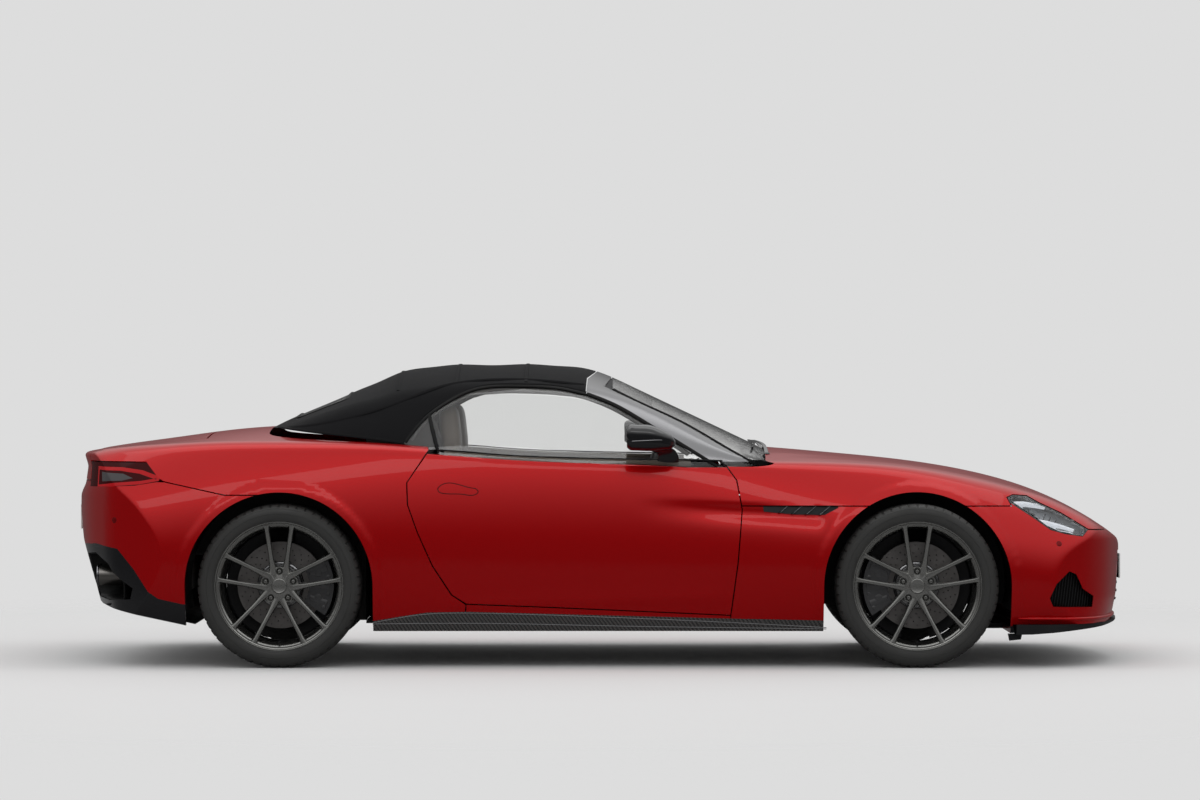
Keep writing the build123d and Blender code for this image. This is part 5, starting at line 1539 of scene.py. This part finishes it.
def make_tail_lamps():
    """The dark red lenses with the loop of the light guide round a smoked middle."""
    f = FINISHES
    lamp = duplicate(PARTS["skin"], "tail_lamp_lenses")
    cut(lamp, prism(LAMP_REAR, -OUTSIDE_Y, -BOOT_HALF - GAP - FIT), "INTERSECT", keep=False)
    band, heart, smoke = (corner_prism(t) for t in (TAIL_LOOP, shrunk(TAIL_LOOP, 15), TAIL_SMOKE))
    loop, middle = duplicate(lamp, "loop"), duplicate(lamp, "middle")
    cut(loop, band, "INTERSECT")
    cut(loop, heart)
    cut(middle, heart, "INTERSECT")
    grey = duplicate(middle, "grey")
    cut(grey, smoke, "INTERSECT")
    cut(middle, smoke, keep=False)
    cut(lamp, band, keep=False)
    discard(heart)
    for piece, kind in ((lamp, "lamp_red"), (loop, "lamp_glow"), (middle, "lamp_red"), (grey, "lamp_smoke")):
        paint(piece, f[kind])
        shade(piece, 30)
    right = joined("tail_right", [lamp, loop, middle, grey])
    both_lamps = joined("tail_lamp_lenses", [mirrored(right, "tail_left"), right])
    place(both_lamps, "body", "lamp_red", replaces=("tail_lamps",))


class CONVERTIBLE_OT_lamps(bpy.types.Operator):
    """Makes the headlamps and the tail lamps"""
    bl_idname = "convertible.lamps"
    bl_label = "Lamps"

    def execute(self, context):
        make_headlamps()
        make_tail_lamps()
        return {"FINISHED"}


def shell_between(name, outside, inside, zone):
    """The part inside a zone of the space between two insets of the body."""
    piece, hollow = body_solid(name, outside), body_solid("hollow", inside)
    cut(piece, hollow, keep=False)
    return shade(cut(piece, zone, "INTERSECT", keep=False), 32)


def make_vents():
    """The fins behind the front wheels and the meshes of the grille and of the side intakes."""
    f = FINISHES
    pieces = []
    for x in (800, 862, 924, 986):
        fin = prism([(x - 34, 668), (x - 27, 668), (x + 25, 712), (x + 18, 712)], -1000, -800)
        # a thin bright sliver along each fin's outer edge: painted highlight
        edge = prism([(x - 27, 668), (x - 25.5, 668), (x + 26.5, 712), (x + 25, 712)], -1000, -800)
        for part, kind, top in ((fin, "satin_black", 3), (edge, "edge_highlight", 2)):
            cut(part, prism(shrunk(VENT, 0.4), -OUTSIDE_Y, -700), "INTERSECT", keep=False)
            cut(part, body_solid("face", top), "INTERSECT", keep=False)
            cut(part, body_solid("floor", 9.5), keep=False)
            pieces.append(paint(part, f[kind]))
    right = joined("vent_right", pieces)
    fins = joined("side_vent_fins", [mirrored(right, "vent_left"), right])
    place(fins, "body", "gloss_black")
    wide = block(*GRILLE_X, -GRILLE_HALF + 0.5, GRILLE_HALF - 0.5, GRILLE_LOW + 0.5, GRILLE_HIGH - 0.5)
    posts = joined("posts", [block(*GRILLE_X, y - 1.6, y + 1.6, GRILLE_LOW, GRILLE_HIGH)
                             for y in np.arange(-330, 331, 15)])
    mesh = shell_between("grille_mesh", 10, 15, posts)
    side_posts = joined("posts", [prism([(x, 262), (x + 2.6, 262), (x + 22.6, 424), (x + 20, 424)],
                                        s * 1000, s * 500)
                                  for s in (-1, 1) for x in np.arange(1956, 2180, 13)])
    intake_zone = side_pair(shrunk(INTAKE_FRONT, 0.4), 520)
    cut(side_posts, intake_zone, "INTERSECT")
    side_mesh = shell_between("side_mesh", 14, 19, side_posts)
    # near-black sheets behind the grille mesh and the side intakes: painted shade for the depth of the
    # openings
    shade_backing = shell_between("shade_backing", 24, 28, joined("zone", [wide, side_pair(shrunk(INTAKE_FRONT, -14), 500)]))
    discard(intake_zone)
    for piece, kind in ((mesh, "satin_black"), (side_mesh, "satin_black"), (shade_backing, "seal")):
        paint(piece, f[kind])
    place(joined("grille_mesh", [mesh, side_mesh, shade_backing]), "body", "gloss_black")


def make_tail_trim():
    """The black lower panel, the exhaust tips in their recesses, and the trim under both ends."""
    f = FINISHES
    holes = joined("holes", [prism_x([(s * y, z) for y, z in EXHAUST_HOLE], -2500, -1900) for s in (-1, 1)])
    lower = duplicate(PARTS["skin"], "diffuser_panel")
    cut(lower, whole(DIFFUSER), "INTERSECT", keep=False)
    cut(lower, whole(REAR_BUMPER), "INTERSECT", keep=False)
    cut(lower, holes, keep=False)
    place(shade(lower, 32), "body", "gloss_black", f["gloss_black"], replaces=("diffuser",))
    liners = []
    for side in (-1, 1):
        outside = [(side * y, z) for y, z in shrunk(EXHAUST_HOLE, -1.5)]
        inside = [(side * y, z) for y, z in shrunk(EXHAUST_HOLE, 3)]
        liner = prism_x(outside, -2400, -2092)
        cut(liner, prism_x(inside, -2450, -2098), keep=False)
        cut(liner, body_solid("face", 6), "INTERSECT", keep=False)
        liners.append(paint(liner, f["seal"]))
        for y in TIP_Y:
            lip = aimed(turned(TIP_LIP, "lip", 64), (TIP_BACK_X + 9, side * y, TIP_Z), (-1, 0, 0))
            liners.append(paint(lip, f["chrome"]))
            # a near-black disc inside each tip, standing for the dark depth of the pipe: painted shade
            core = turned([(0, 0), (41.9, 0), (41.9, 3), (0, 3)], "core", 48)
            liners.append(paint(aimed(core, (TIP_BACK_X + 90, side * y, TIP_Z), (-1, 0, 0)), f["seal"]))
    place(joined("exhaust_recesses", liners), "body", "exhaust_steel")
    floor = prism([(-1792, 184), (-2185, 269), (-2185, 275), (-1792, 190)], -780, 780)
    pieces = [floor]
    for y in (-420, -250, -85, 85, 250, 420):
        fin = prism([(-2192, 276), (-1960, 224), (-1940, 205), (-2050, 205), (-2160, 226)], y - 3, y + 3)
        pieces.append(fin)
    for side in (-1, 1):
        pieces.append(prism([(1800, 146), (1862, 147), (1856, 121), (1806, 116)], side * 838, side * 866))
    for piece in pieces:
        paint(piece, f["satin_black"])
    place(joined("underside_trim", pieces), "body", "gloss_black")


def make_front_lip():
    """The rounded lip along the bumper's lower edge, from one wheel arch round the nose to the other."""
    ahead = [PARTS["tree"].ray_cast(Vector((3.0, y * MM, LIP_Z * MM)), Vector((-1, 0, 0)))[0] / MM
             for y in range(-680, 681, 85)]
    right = [surface_at(x, LIP_Z + 0.012 * (2190 - x), -1)[0] for x in range(1842, 2180, 42)]
    left = [p * (1, -1, 1) for p in right[::-1]]
    path = resample(smooth_path(right + [np.array(p) for p in ahead] + left, 400), 150)
    assert path[len(path) // 2][0] < LIP_FRONT_LIMIT
    sizes = np.minimum(1.0, 0.35 + np.linspace(0, 12, 75))
    sizes = np.concatenate((sizes, sizes[::-1]))
    return sweep("front_lip", path - (2, 0, 0), oval(30, 17, 16, 0.8), up=(0, 0, 1), sizes=sizes)


def make_side_trim():
    """The skirts, the door handles' outlines, the sensors, the front lip and the inner wings."""
    f = FINISHES
    band = side_pair(SKIRT, 840)
    base = duplicate(PARTS["skin"], "sill_skirt_panels")
    cut(base, band, "INTERSECT", keep=False)
    cut(base, block(-1010, 1000, -OUTSIDE_Y, OUTSIDE_Y, 0, 290), "INTERSECT", keep=False)
    strip = duplicate(base, "sill_strips")
    dark = side_pair(SKIRT_DARK, 700)
    cut(base, dark, "INTERSECT")
    cut(strip, dark, keep=False)
    place(shade(base, 32), "body", "gloss_black", f["carbon"], replaces=("sill_skirts",))
    place(shade(strip, 32), "body", "body_red", f["paint"])
    # Bright lines along the skirts: painted highlights on their edges.
    lines = []
    for side in (-1, 1):
        for path in ([(-1000, 197), (-930, 211), (-760, 236), (-570, 240), (0, 223), (560, 199), (996, 176)],
                     [(-1000, 192), (-500, 194), (0, 184), (500, 176), (996, 170)]):
            lines.append(side_line("line", path, oval(3.4, 3.4, 8), side, lift=0.0, n=90))
    place(joined("skirt_edge_highlights", lines), "body", "gloss_black", f["edge_highlight"])
    for name, side in SIDES:
        # a near-black rod round each flush handle, in place of a cut groove: painted shade of the gap round
        # the handle
        groove = side_line("door_handle_" + name, HANDLE, oval(3.4, 3.0, 8), side, lift=0.0, n=110,
                           closed=True)
        place(groove, "door_" + name, "gloss_black", f["seal"])
        dots = []
        for x, z in SENSORS:
            spot, normal = surface_at(x, z, side, -1.5)
            dot = aimed(turned([(0, 0), (11, 0), (11, 1.8), (10, 2.2), (0, 2.2)], "dot", 36), spot, normal)
            dots.append(paint(dot, f["sensor"]))
            ring = aimed(turned([(11, 0), (12.4, 0), (12.4, 1.7), (11, 1.7)], "ring", 36), spot, normal)
            dots.append(paint(ring, f["seal"]))
        place(joined("parking_sensors_" + name, dots), "body", "body_red")
    place(make_front_lip(), "body", "body_red", f["paint"])
    wings = []
    for side in (-1, 1):
        outline = [(FRONT_AXLE + WING_RADIUS * math.cos(t), WHEEL_Z + WING_RADIUS * math.sin(t))
                   for t in np.linspace(-0.24, math.pi + 0.24, 60)]
        wings.append(prism(outline, side * 471, side * 475))
    place(joined("inner_wings", wings), "body", "liner_black", f["satin_black"])


class CONVERTIBLE_OT_trim(bpy.types.Operator):
    """Makes the vents, the grille mesh, the tail's lower panel, the skirts and the small trim"""
    bl_idname = "convertible.trim"
    bl_label = "Vents and trim"

    def execute(self, context):
        make_vents()
        make_tail_trim()
        make_side_trim()
        return {"FINISHED"}


# ---------------------------------------------------------------- seats and the inside of the cabin
def cushion(name, size, power, cuts, shape=None):
    """A padded block about the origin, its sides crowned and its corners rounded. Size: x, y, z."""
    bm = bmesh.new()
    bmesh.ops.create_cube(bm, size=2.0)
    bmesh.ops.subdivide_edges(bm, edges=bm.edges[:], cuts=cuts, use_grid_fill=True)
    points = np.array([v.co[:] for v in bm.verts])
    length = np.sum(np.abs(points) ** power, axis=1) ** (1 / power)
    points = points / length[:, None] * np.abs(points).max(axis=1)[:, None]
    points = points * (np.asarray(size, float) / 2)
    if shape is not None:
        points = shape(points)
    for vert, place_mm in zip(bm.verts, points):
        vert.co = Vector(place_mm * MM)
    mesh = bpy.data.meshes.new(name)
    bm.to_mesh(mesh)
    bm.free()
    return shade(linked(name, mesh), 60)


def channels(along, lines, deep, wide):
    """How far the cover is drawn in at sewn lines across a coordinate."""
    change = np.zeros_like(along)
    for line in lines:
        change += deep * np.exp(-((along - line) / wide) ** 2)
    return change


def seat_base(points):
    """The sitting part: raised bolsters at both sides and sewn channels across."""
    x, y, z = points.T
    top = smooth_step(10, 60, z)
    side = smooth_step(150, 205, np.abs(y))
    middle = 1 - smooth_step(135, 165, np.abs(y))
    z = z + top * (26 * side - 16 * middle)
    z = z - top * middle * channels(x, np.arange(-180, 200, 52), 5.0, 5.0)
    z = z - top * channels(np.abs(y), (150,), 9.0, 6.0)
    return np.column_stack((x, y, z))


def seat_back(points):
    """The backrest lying flat, front side up: bolsters, channels, and shoulders that narrow to the head."""
    x, y, z = points.T
    t = (300 - x) / 600
    y = y * (1 - 0.16 * smooth_step(0.62, 0.98, t))
    top = smooth_step(5, 45, z)
    side = smooth_step(140, 200, np.abs(y)) * (1 - 0.6 * smooth_step(0.75, 1.0, t))
    middle = 1 - smooth_step(130, 160, np.abs(y))
    z = z + top * (30 * side - 14 * middle)
    z = z - top * middle * channels(x, np.arange(-200, 260, 52), 5.0, 5.0)
    z = z - top * channels(np.abs(y), (146,), 9.0, 6.0)
    return np.column_stack((x, y, z))


def turned_up(piece, angle, centre):
    """Turns a piece that lies flat with its length along X, and moves it to its place."""
    turn = Matrix.Rotation(math.radians(angle), 4, "Y")
    piece.data.transform(Matrix.Translation(Vector(centre) * MM) @ turn)
    return piece


SEAT_PIECES = (  # name, size, squareness, cuts, shape, angle, x, z, finish
    ("base", (492, 500, 176), 6.0, 26, seat_base, -3, -310, 322, "leather"),
    ("back", (560, 500, 118), 6.0, 30, seat_back, 73, -592, 668, "leather"),
    ("head", (228, 276, 92), 4.0, 20, None, 84, -672, 1034, "leather"),
    ("shell", (700, 440, 26), 7.0, 12, None, 75, -664, 740, "trim_leather"),
    ("foot", (440, 430, 60), 8.0, 10, None, 0, -310, 238, "trim_leather"),
)


def make_front_seat(y):
    """The cushions of one front seat and the shell behind and below them."""
    return [paint(turned_up(cushion(name, size, power, cuts, shape), angle, (x, y, z)), FINISHES[kind])
            for name, size, power, cuts, shape, angle, x, z, kind in SEAT_PIECES]


def bench_shape(points):
    """Three sewn channels lengthwise in the upper side."""
    x, y, z = points.T
    return np.column_stack((x, y, z - smooth_step(0, 25, z) * channels(y, (-80, 0, 80), 5, 6)))


def make_rear_bench():
    """Two small seats with the hump between them."""
    pieces = []
    for side in (-1, 1):
        base = cushion("base", (236, 430, 60), 5.0, 18, bench_shape)
        pieces.append(turned_up(base, 0, (-922, side * 300, 430)))
        back = cushion("back", (410, 430, 66), 5.0, 20, bench_shape)
        pieces.append(turned_up(back, 86, (-1004, side * 300, 664)))
    hump = cushion("hump", (70, 170, 430), 5.0, 12)
    pieces.append(turned_up(hump, 0, (-1006, 0, 660)))
    for piece in pieces:
        paint(piece, FINISHES["leather"])
    return joined("rear_bench", pieces)


def bevelled(piece, width):
    """Rounds a piece's edges off, by a width in metres."""
    bevel = piece.modifiers.new("bevel", "BEVEL")
    bevel.width, bevel.segments, bevel.limit_method = width, 3, "ANGLE"
    return apply_modifiers(piece)


def make_dashboard():
    """The dashboard's two levels, the console, the dials' hood, the screen, the vents and the keys."""
    f = FINISHES
    top = whole([(559, 700), (520, 832), (430, 852), (352, 820), (306, 762), (332, 700), (350, 640)], 770)
    lower = whole([(550, 520), (550, 706), (356, 706), (336, 640), (352, 560), (430, 520)], 700)
    for piece in (top, lower):
        cut(bevelled(piece, 0.012), PARTS["inner"], "INTERSECT")
        paint(shade(piece, 40), f["trim_leather"])
    console = whole([(-248, 402), (-248, 500), (-170, 520), (90, 540), (260, 600), (338, 640),
                     (338, 402)], 118)
    paint(shade(bevelled(console, 0.016), 40), f["trim_leather"])
    hood = cushion("hood", (150, 330, 110), 4.0, 14)
    paint(turned_up(hood, 8, (372, 400, 826)), f["trim_leather"])
    screen = paint(block(318, 326, -150, 120, 706, 800), f["gloss_black"])
    line = np.array([(308.5, y, 768) for y in np.linspace(-740, 190, 80)])
    seam = paint(sweep("seam", line, oval(2.4, 2.4, 6), up=(0, 0, 1)), f["thread"])
    pieces = [top, lower, console, hood, screen, seam]
    for y in (-640, -250, 170, 640):
        vent = turned([(20, 0), (34, 0), (36, 3), (34, 8), (30, 9), (26, 5), (20, 3)], "vent", 36)
        plug = turned([(0, 0), (27, 0), (27, 3.5), (0, 3.5)], "plug", 30)
        for piece, kind in ((vent, "chrome"), (plug, "seal")):
            pieces.append(paint(aimed(piece, (318, y, 735), (-1, 0, 0.25)), f[kind]))
    knob = cushion("knob", (56, 48, 84), 3.0, 12)
    pieces.append(paint(turned_up(knob, -12, (20, 0, 590)), f["trim_leather"]))
    for k in range(4):
        key = cushion("key", (26, 18, 8), 4.0, 6)
        turned_up(key, -8, (110 + 36 * k, 24 * (k % 2) - 12, 550 + 9 * k))
        pieces.append(paint(key, f["chrome"]))
    return joined("dashboard_trim", pieces)


def make_steering_wheel():
    """The rim with its stitches, three spokes, the hub and the column."""
    f = FINISHES
    section = [(182 + 14.5 * math.cos(a), 14.5 * math.sin(a))
               for a in np.linspace(0, 2 * math.pi, 16, endpoint=False)]
    pieces = [paint(turned(section, "ring", 96), f["trim_leather"])]
    hub = turned([(0, -30), (52, -30), (56, -10), (50, 12), (30, 19), (0, 20)], "hub", 48)
    pieces.append(paint(hub, f["trim_leather"]))
    for angle in (0, 180, 270):
        c, s = math.cos(math.radians(angle)), math.sin(math.radians(angle))
        path = np.array([(r * c, 2 - 8 * (r / 182) ** 2, r * s) for r in np.linspace(40, 176, 12)])
        arm = sweep("arm", path, oval(30, 11, 14, 0.7), up=(0, 1, 0))
        pieces.append(paint(arm, f["alloy"]))
    for angle in range(0, 360, 4):
        a = math.radians(angle)
        stitch = turned([(0.0, -3), (1.2, -3), (1.2, 3), (0, 3)], "stitch", 5)
        aimed(stitch, (167.6 * math.cos(a), 0, 167.6 * math.sin(a)), (-math.sin(a), 0.4, math.cos(a)))
        pieces.append(paint(stitch, f["thread"]))
    column = turned([(0, -196), (26, -196), (28, -150), (28, -60), (34, -30), (0, -30)], "column", 32)
    pieces.append(paint(column, f["satin_black"]))
    wheel = joined("steering_wheel_trim", pieces)
    tilt = Vector((-math.cos(math.radians(24)), 0, math.sin(math.radians(24))))
    return aimed(wheel, (190, 400, 760), tilt)


# ---------------------------------------------------------------- linings, and shields in the wheel wells
SHIELD = [(76, -46), (240, -46), (244, -42), (244, -39), (240, -43), (76, -43)]
SHIELD_SLOT = 62.0  # half the width of the opening that the suspension's joints turn in


def make_waist_rails():
    """The leather capping along the top of each door card."""
    for name, side in SIDES:
        line = resample(smooth_path([(-690, 950), (-600, 944), (-397, 929), (-150, 919), (100, 913),
                                     (400, 908)], 200), 60)
        path = np.array([(x, side * 812, z - 26) for x, z in line])
        rail = sweep("waist_rail_" + name, path, oval(24, 52, 16, 0.6), up=(0, 0, 1))
        place(shade(rail, 60), "door_" + name, "dash_leather", FINISHES["leather"])


def make_cabin_lining():
    """The padded rails along the windows' tops and the panels beside the rear seat."""
    top = [(-840, 1000), (-778, 1078), (-684, 1148), (-577, 1201), (-349, 1220), (-172, 1209), (-70, 1188),
           (60, 1138), (202, 1056), (323, 982), (392, 936)]
    rails = joined("window_rails",
                   [cabin_strip("rail", top, 24, 12, side, lift=-17, n=90) for side in (-1, 1)])
    place(shade(rails, 60), "body", "dash_leather", FINISHES["lining"])
    outline = [(-1040, 905), (-1040, 1080), (-860, 1120), (-768, 1122), (-748, 1060), (-742, 905)]
    sides = []
    for side in (-1, 1):
        sides.append(cut(prism(outline, side * 684, side * 692), PARTS["inner_cabin"], "INTERSECT"))
    discard(PARTS.pop("inner_cabin"))
    place(joined("quarter_linings", sides), "body", "dash_leather", FINISHES["lining"])
    zone = whole([(24, 1400), (24, 1232), (60, 1214), (161, 1163), (232, 1129), (250, 1400)])
    band = cabin_piece("screen_band", GLASS + 2, 2, [zone], step=24.0)
    place(band, "body", "gloss_black", FINISHES["satin_black"])


def make_shields():
    """The thin plates behind the brake discs."""
    for corner, axle, side, width in sorted(WHEELS):
        middle = TYRE_FACE_Y - width / 2
        shield = turned(SHIELD, "dust_shield_" + corner, 72)
        aimed(shield, (axle, side * middle, WHEEL_Z), (0, side, 0))
        cut(shield, block(axle - SHIELD_SLOT, axle + SHIELD_SLOT, -1000, 1000, 0, 800), keep=False)
        carrier = corner.replace("front", "steer") if axle == FRONT_AXLE else "body"
        place(shield, carrier, "suspension_alloy", FINISHES["satin_black"])


class CONVERTIBLE_OT_cabin(bpy.types.Operator):
    """Makes the seats, the dashboard, the steering wheel, the linings and the brake shields"""
    bl_idname = "convertible.cabin"
    bl_label = "Cabin"

    def execute(self, context):
        seats = joined("front_seat_cushions", make_front_seat(-445) + make_front_seat(445))
        place(seats, "body", "seat_leather", replaces=("front_seats",))
        bench = place(make_rear_bench(), "body", "seat_leather", replaces=("rear_seat",))
        place(make_dashboard(), "body", "dash_leather", replaces=("dashboard",))
        place(make_steering_wheel(), "body", "dash_leather", replaces=("steering_wheel",))
        make_waist_rails()
        make_cabin_lining()
        make_shields()
        return {"FINISHED"}


def clear_solids():
    """Removes the volumes that the pieces were cut from."""
    for key in ("outer", "inner", "skin", "cabin_clear", "cabin_seat"):
        discard(PARTS.pop(key))


class CONVERTIBLE_OT_frame(bpy.types.Operator):
    """Gives every CAD solid that stays in view its finish"""
    bl_idname = "convertible.frame"
    bl_label = "Frame finishes"

    def execute(self, context):
        clear_solids()
        for node, kind in NODE_FINISHES.items():
            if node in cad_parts:
                paint(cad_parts[node], FINISHES[kind])
        return {"FINISHED"}


NODE_FINISHES = {}
for kind, names in (("satin_black", "front_bulkhead wheel_liners dashboard grilles splitter"),
                    ("gloss_black", "diffuser mirror_left mirror_right windscreen_frame"),
                    ("carbon", "sill_skirts"), ("pipe", "exhaust"), ("lamp_clear", "headlamps"),
                    ("lamp_red", "tail_lamps"), ("screen_glass", "windscreen rear_glass"),
                    ("side_glass", "door_glass_left door_glass_right"), ("cloth", "soft_top"),
                    ("carpet", "floor_pan rear_structure"), ("plate", "number_plates"),
                    ("leather", "front_seats rear_seat"), ("trim_leather", "steering_wheel"),
                    ("steel", "front_rails engine_block front_suspension rear_suspension")):
    for node in names.split():
        NODE_FINISHES[node] = kind
for corner in ("front_left", "front_right", "rear_left", "rear_right"):
    NODE_FINISHES["tyre_" + corner] = "rubber"
    NODE_FINISHES["rim_" + corner] = "alloy"
    NODE_FINISHES["disc_" + corner] = "iron"
    NODE_FINISHES["knuckle_" + corner] = "caliper"


# ---------------------------------------------------------------- stage, light and camera
CAMERA_PLACE = (0.0, -20.98, 1.30)
CAMERA_LENS, SENSOR_WIDTH = 136.9, 36.0
CAMERA_DIP = 0.35
CAMERA_REACH = 200.0
FLOOR_RINGS, FLOOR_SPOKES = (2, 4, 6, 8, 11, 15, 22), 48
FLOOR_TONE = (0.72, 0.75)
FLOOR_FADE = (3.0, 6.5)
FLOOR_MIRRORED = 0.25  # how much of the floor's brightness the glossy surfaces see
WORLD_LIGHT = 0.86
SKY = (0.05, 0.75, 0.10, 1.25)  # where the dim part ends and the bright part starts, and how bright each is
WHITE = (1, 1, 1, 1)
LAMPS = (  # name, place, target, size, watts
    ("overhead", (0, 0, 5.2), (0, 0, 0), (7.5, 2.2), 60),
    ("front side", (0.0, -7.5, 6.4), (0, 0, 0.4), (9.0, 1.2), 60),
)


class CONVERTIBLE_OT_stage(bpy.types.Operator):
    """Makes the floor, the backdrop, the lamps and the camera"""
    bl_idname = "convertible.stage"
    bl_label = "Stage"

    def execute(self, context):
        stage = settings()[2]
        scene = bpy.context.scene
        scene.view_settings.view_transform = "Standard"
        make_floor()
        make_world(stage.shade)
        for name, where, target, size, power in LAMPS:
            lamp(name, where, target, size, power * stage.light)
        data = bpy.data.cameras.new("camera")
        camera = linked("camera", data)
        data.lens, data.sensor_width, data.clip_end = CAMERA_LENS, SENSOR_WIDTH, CAMERA_REACH
        camera.location = CAMERA_PLACE
        camera.rotation_euler = (math.radians(90 - CAMERA_DIP), 0, 0)
        scene.camera = camera
        return {"FINISHED"}


def make_floor():
    """A wide floor that fades into the backdrop."""
    n = FLOOR_SPOKES
    points = [(r * math.cos(a), r * math.sin(a), 0) for r in FLOOR_RINGS
              for a in np.linspace(0, 2 * math.pi, n, endpoint=False)] + [(0, 0, 0)]
    faces = [(r * n + i, r * n + (i + 1) % n, (r + 1) * n + (i + 1) % n, (r + 1) * n + i)
             for r in range(len(FLOOR_RINGS) - 1) for i in range(n)]
    faces += [(i, (i + 1) % n, len(points) - 1) for i in range(n)]
    floor = new_object("studio_floor", points, faces, scale=1.0)
    paint(floor, backdrop_finish())


def backdrop_finish():
    """A pale floor that keeps the shadow and shows the plain backdrop colour elsewhere."""
    material = bpy.data.materials.new("pale floor")
    tree = cleared_tree(material)
    out = add_node(tree, "OutputMaterial")
    shader = add_node(tree, "BsdfPrincipled", Roughness=0.9, Specular_IOR_Level=0.1)
    noise = add_node(tree, "TexNoise", Scale=0.6)
    spread = add_node(tree, "MapRange", To_Min=FLOOR_TONE[0], To_Max=FLOOR_TONE[1])
    path, where = add_node(tree, "LightPath"), add_node(tree, "TexCoord")
    link(tree, noise.outputs["Fac"], spread.inputs["Value"])
    hidden = math_node(tree, "MULTIPLY", path.outputs["Is Glossy Ray"], 1 - FLOOR_MIRRORED)
    seen = math_node(tree, "MULTIPLY", spread.outputs["Result"], math_node(tree, "SUBTRACT", 1.0, hidden))
    link(tree, seen, shader.inputs["Base Color"])
    length = add_node(tree, "VectorMath")
    length.operation = "LENGTH"
    fade = add_node(tree, "MapRange", From_Min=FLOOR_FADE[0], From_Max=FLOOR_FADE[1])
    fade.interpolation_type = "SMOOTHSTEP"
    mix = add_node(tree, "MixShader")
    link(tree, where.outputs["Object"], length.inputs[0])
    link(tree, length.outputs["Value"], fade.inputs["Value"])
    link(tree, fade.outputs["Result"], mix.inputs["Fac"])
    link(tree, shader.outputs[0], mix.inputs[1])
    link(tree, add_node(tree, "BsdfTransparent").outputs[0], mix.inputs[2])
    link(tree, mix.outputs[0], out.inputs["Surface"])
    return material


def make_world(shade_value):
    """Even light for the surfaces, a plain backdrop, and reflections that are dim towards the horizon."""
    world = bpy.data.worlds.new("studio")
    bpy.context.scene.world = world
    tree = cleared_tree(world)
    out, path = add_node(tree, "OutputWorld"), add_node(tree, "LightPath")
    where, split = add_node(tree, "TexCoord"), add_node(tree, "SeparateXYZ")
    link(tree, where.outputs["Generated"], split.inputs[0])
    sky = add_node(tree, "MapRange", **dict(zip(("From_Min", "From_Max", "To_Min", "To_Max"), SKY)))
    sky.interpolation_type = "SMOOTHSTEP"
    link(tree, split.outputs["Z"], sky.inputs["Value"])
    seen = add_node(tree, "Background", Color=(shade_value,) * 3 + (1,))
    light = add_node(tree, "Background", Color=WHITE, Strength=WORLD_LIGHT)
    mirrored_sky = add_node(tree, "Background", Color=WHITE)
    link(tree, sky.outputs["Result"], mirrored_sky.inputs["Strength"])
    glossy, final = add_node(tree, "MixShader"), add_node(tree, "MixShader")
    link(tree, path.outputs["Is Glossy Ray"], glossy.inputs["Fac"])
    link(tree, light.outputs[0], glossy.inputs[1])
    link(tree, mirrored_sky.outputs[0], glossy.inputs[2])
    sight = math_node(tree, "MAXIMUM", path.outputs["Is Camera Ray"], path.outputs["Is Transmission Ray"])
    link(tree, sight, final.inputs["Fac"])
    link(tree, glossy.outputs[0], final.inputs[1])
    link(tree, seen.outputs[0], final.inputs[2])
    link(tree, final.outputs[0], out.inputs["Surface"])


def lamp(name, where, target, size, power):
    """A rectangular area light that faces its target."""
    data = bpy.data.lights.new(name, "AREA")
    data.shape, data.size, data.size_y, data.energy = "RECTANGLE", size[0], size[1], power
    obj = linked(name, data)
    obj.location = where
    obj.rotation_euler = (Vector(target) - Vector(where)).to_track_quat("-Z", "Y").to_euler()


# ---------------------------------------------------------------- sidebar, registration and the run
OPERATORS = (CONVERTIBLE_OT_panels, CONVERTIBLE_OT_wheels, CONVERTIBLE_OT_roof, CONVERTIBLE_OT_glazing,
             CONVERTIBLE_OT_mirrors, CONVERTIBLE_OT_lamps, CONVERTIBLE_OT_trim, CONVERTIBLE_OT_cabin,
             CONVERTIBLE_OT_frame, CONVERTIBLE_OT_stage)


class CONVERTIBLE_PT_sidebar(bpy.types.Panel):
    """The settings and the steps, in the sidebar of the 3-D view"""
    bl_label = "Convertible"
    bl_idname = "CONVERTIBLE_PT_sidebar"
    bl_space_type = "VIEW_3D"
    bl_region_type = "UI"
    bl_category = "Convertible"

    def draw(self, context):
        for group in settings():
            for name in group.__annotations__:
                self.layout.prop(group, name)
        for operator in OPERATORS:
            self.layout.operator(operator.bl_idname)


CLASSES = (ConvertiblePaint, ConvertibleSizes, ConvertibleStage, *OPERATORS, CONVERTIBLE_PT_sidebar)


def register():
    """Makes the classes and the settings known to Blender."""
    for cls in CLASSES:
        bpy.utils.register_class(cls)
    bpy.types.Scene.convertible_paint = PointerProperty(type=ConvertiblePaint)
    bpy.types.Scene.convertible_sizes = PointerProperty(type=ConvertibleSizes)
    bpy.types.Scene.convertible_stage = PointerProperty(type=ConvertibleStage)


def unregister():
    """Takes the settings and the classes away again."""
    for name in ("convertible_paint", "convertible_sizes", "convertible_stage"):
        delattr(bpy.types.Scene, name)
    for cls in reversed(CLASSES):
        bpy.utils.unregister_class(cls)


def main():
    register()
    make_finishes()
    for operator in OPERATORS:
        area, name = operator.bl_idname.split(".")
        getattr(getattr(bpy.ops, area), name)()


if __name__ == "__main__":
    main()
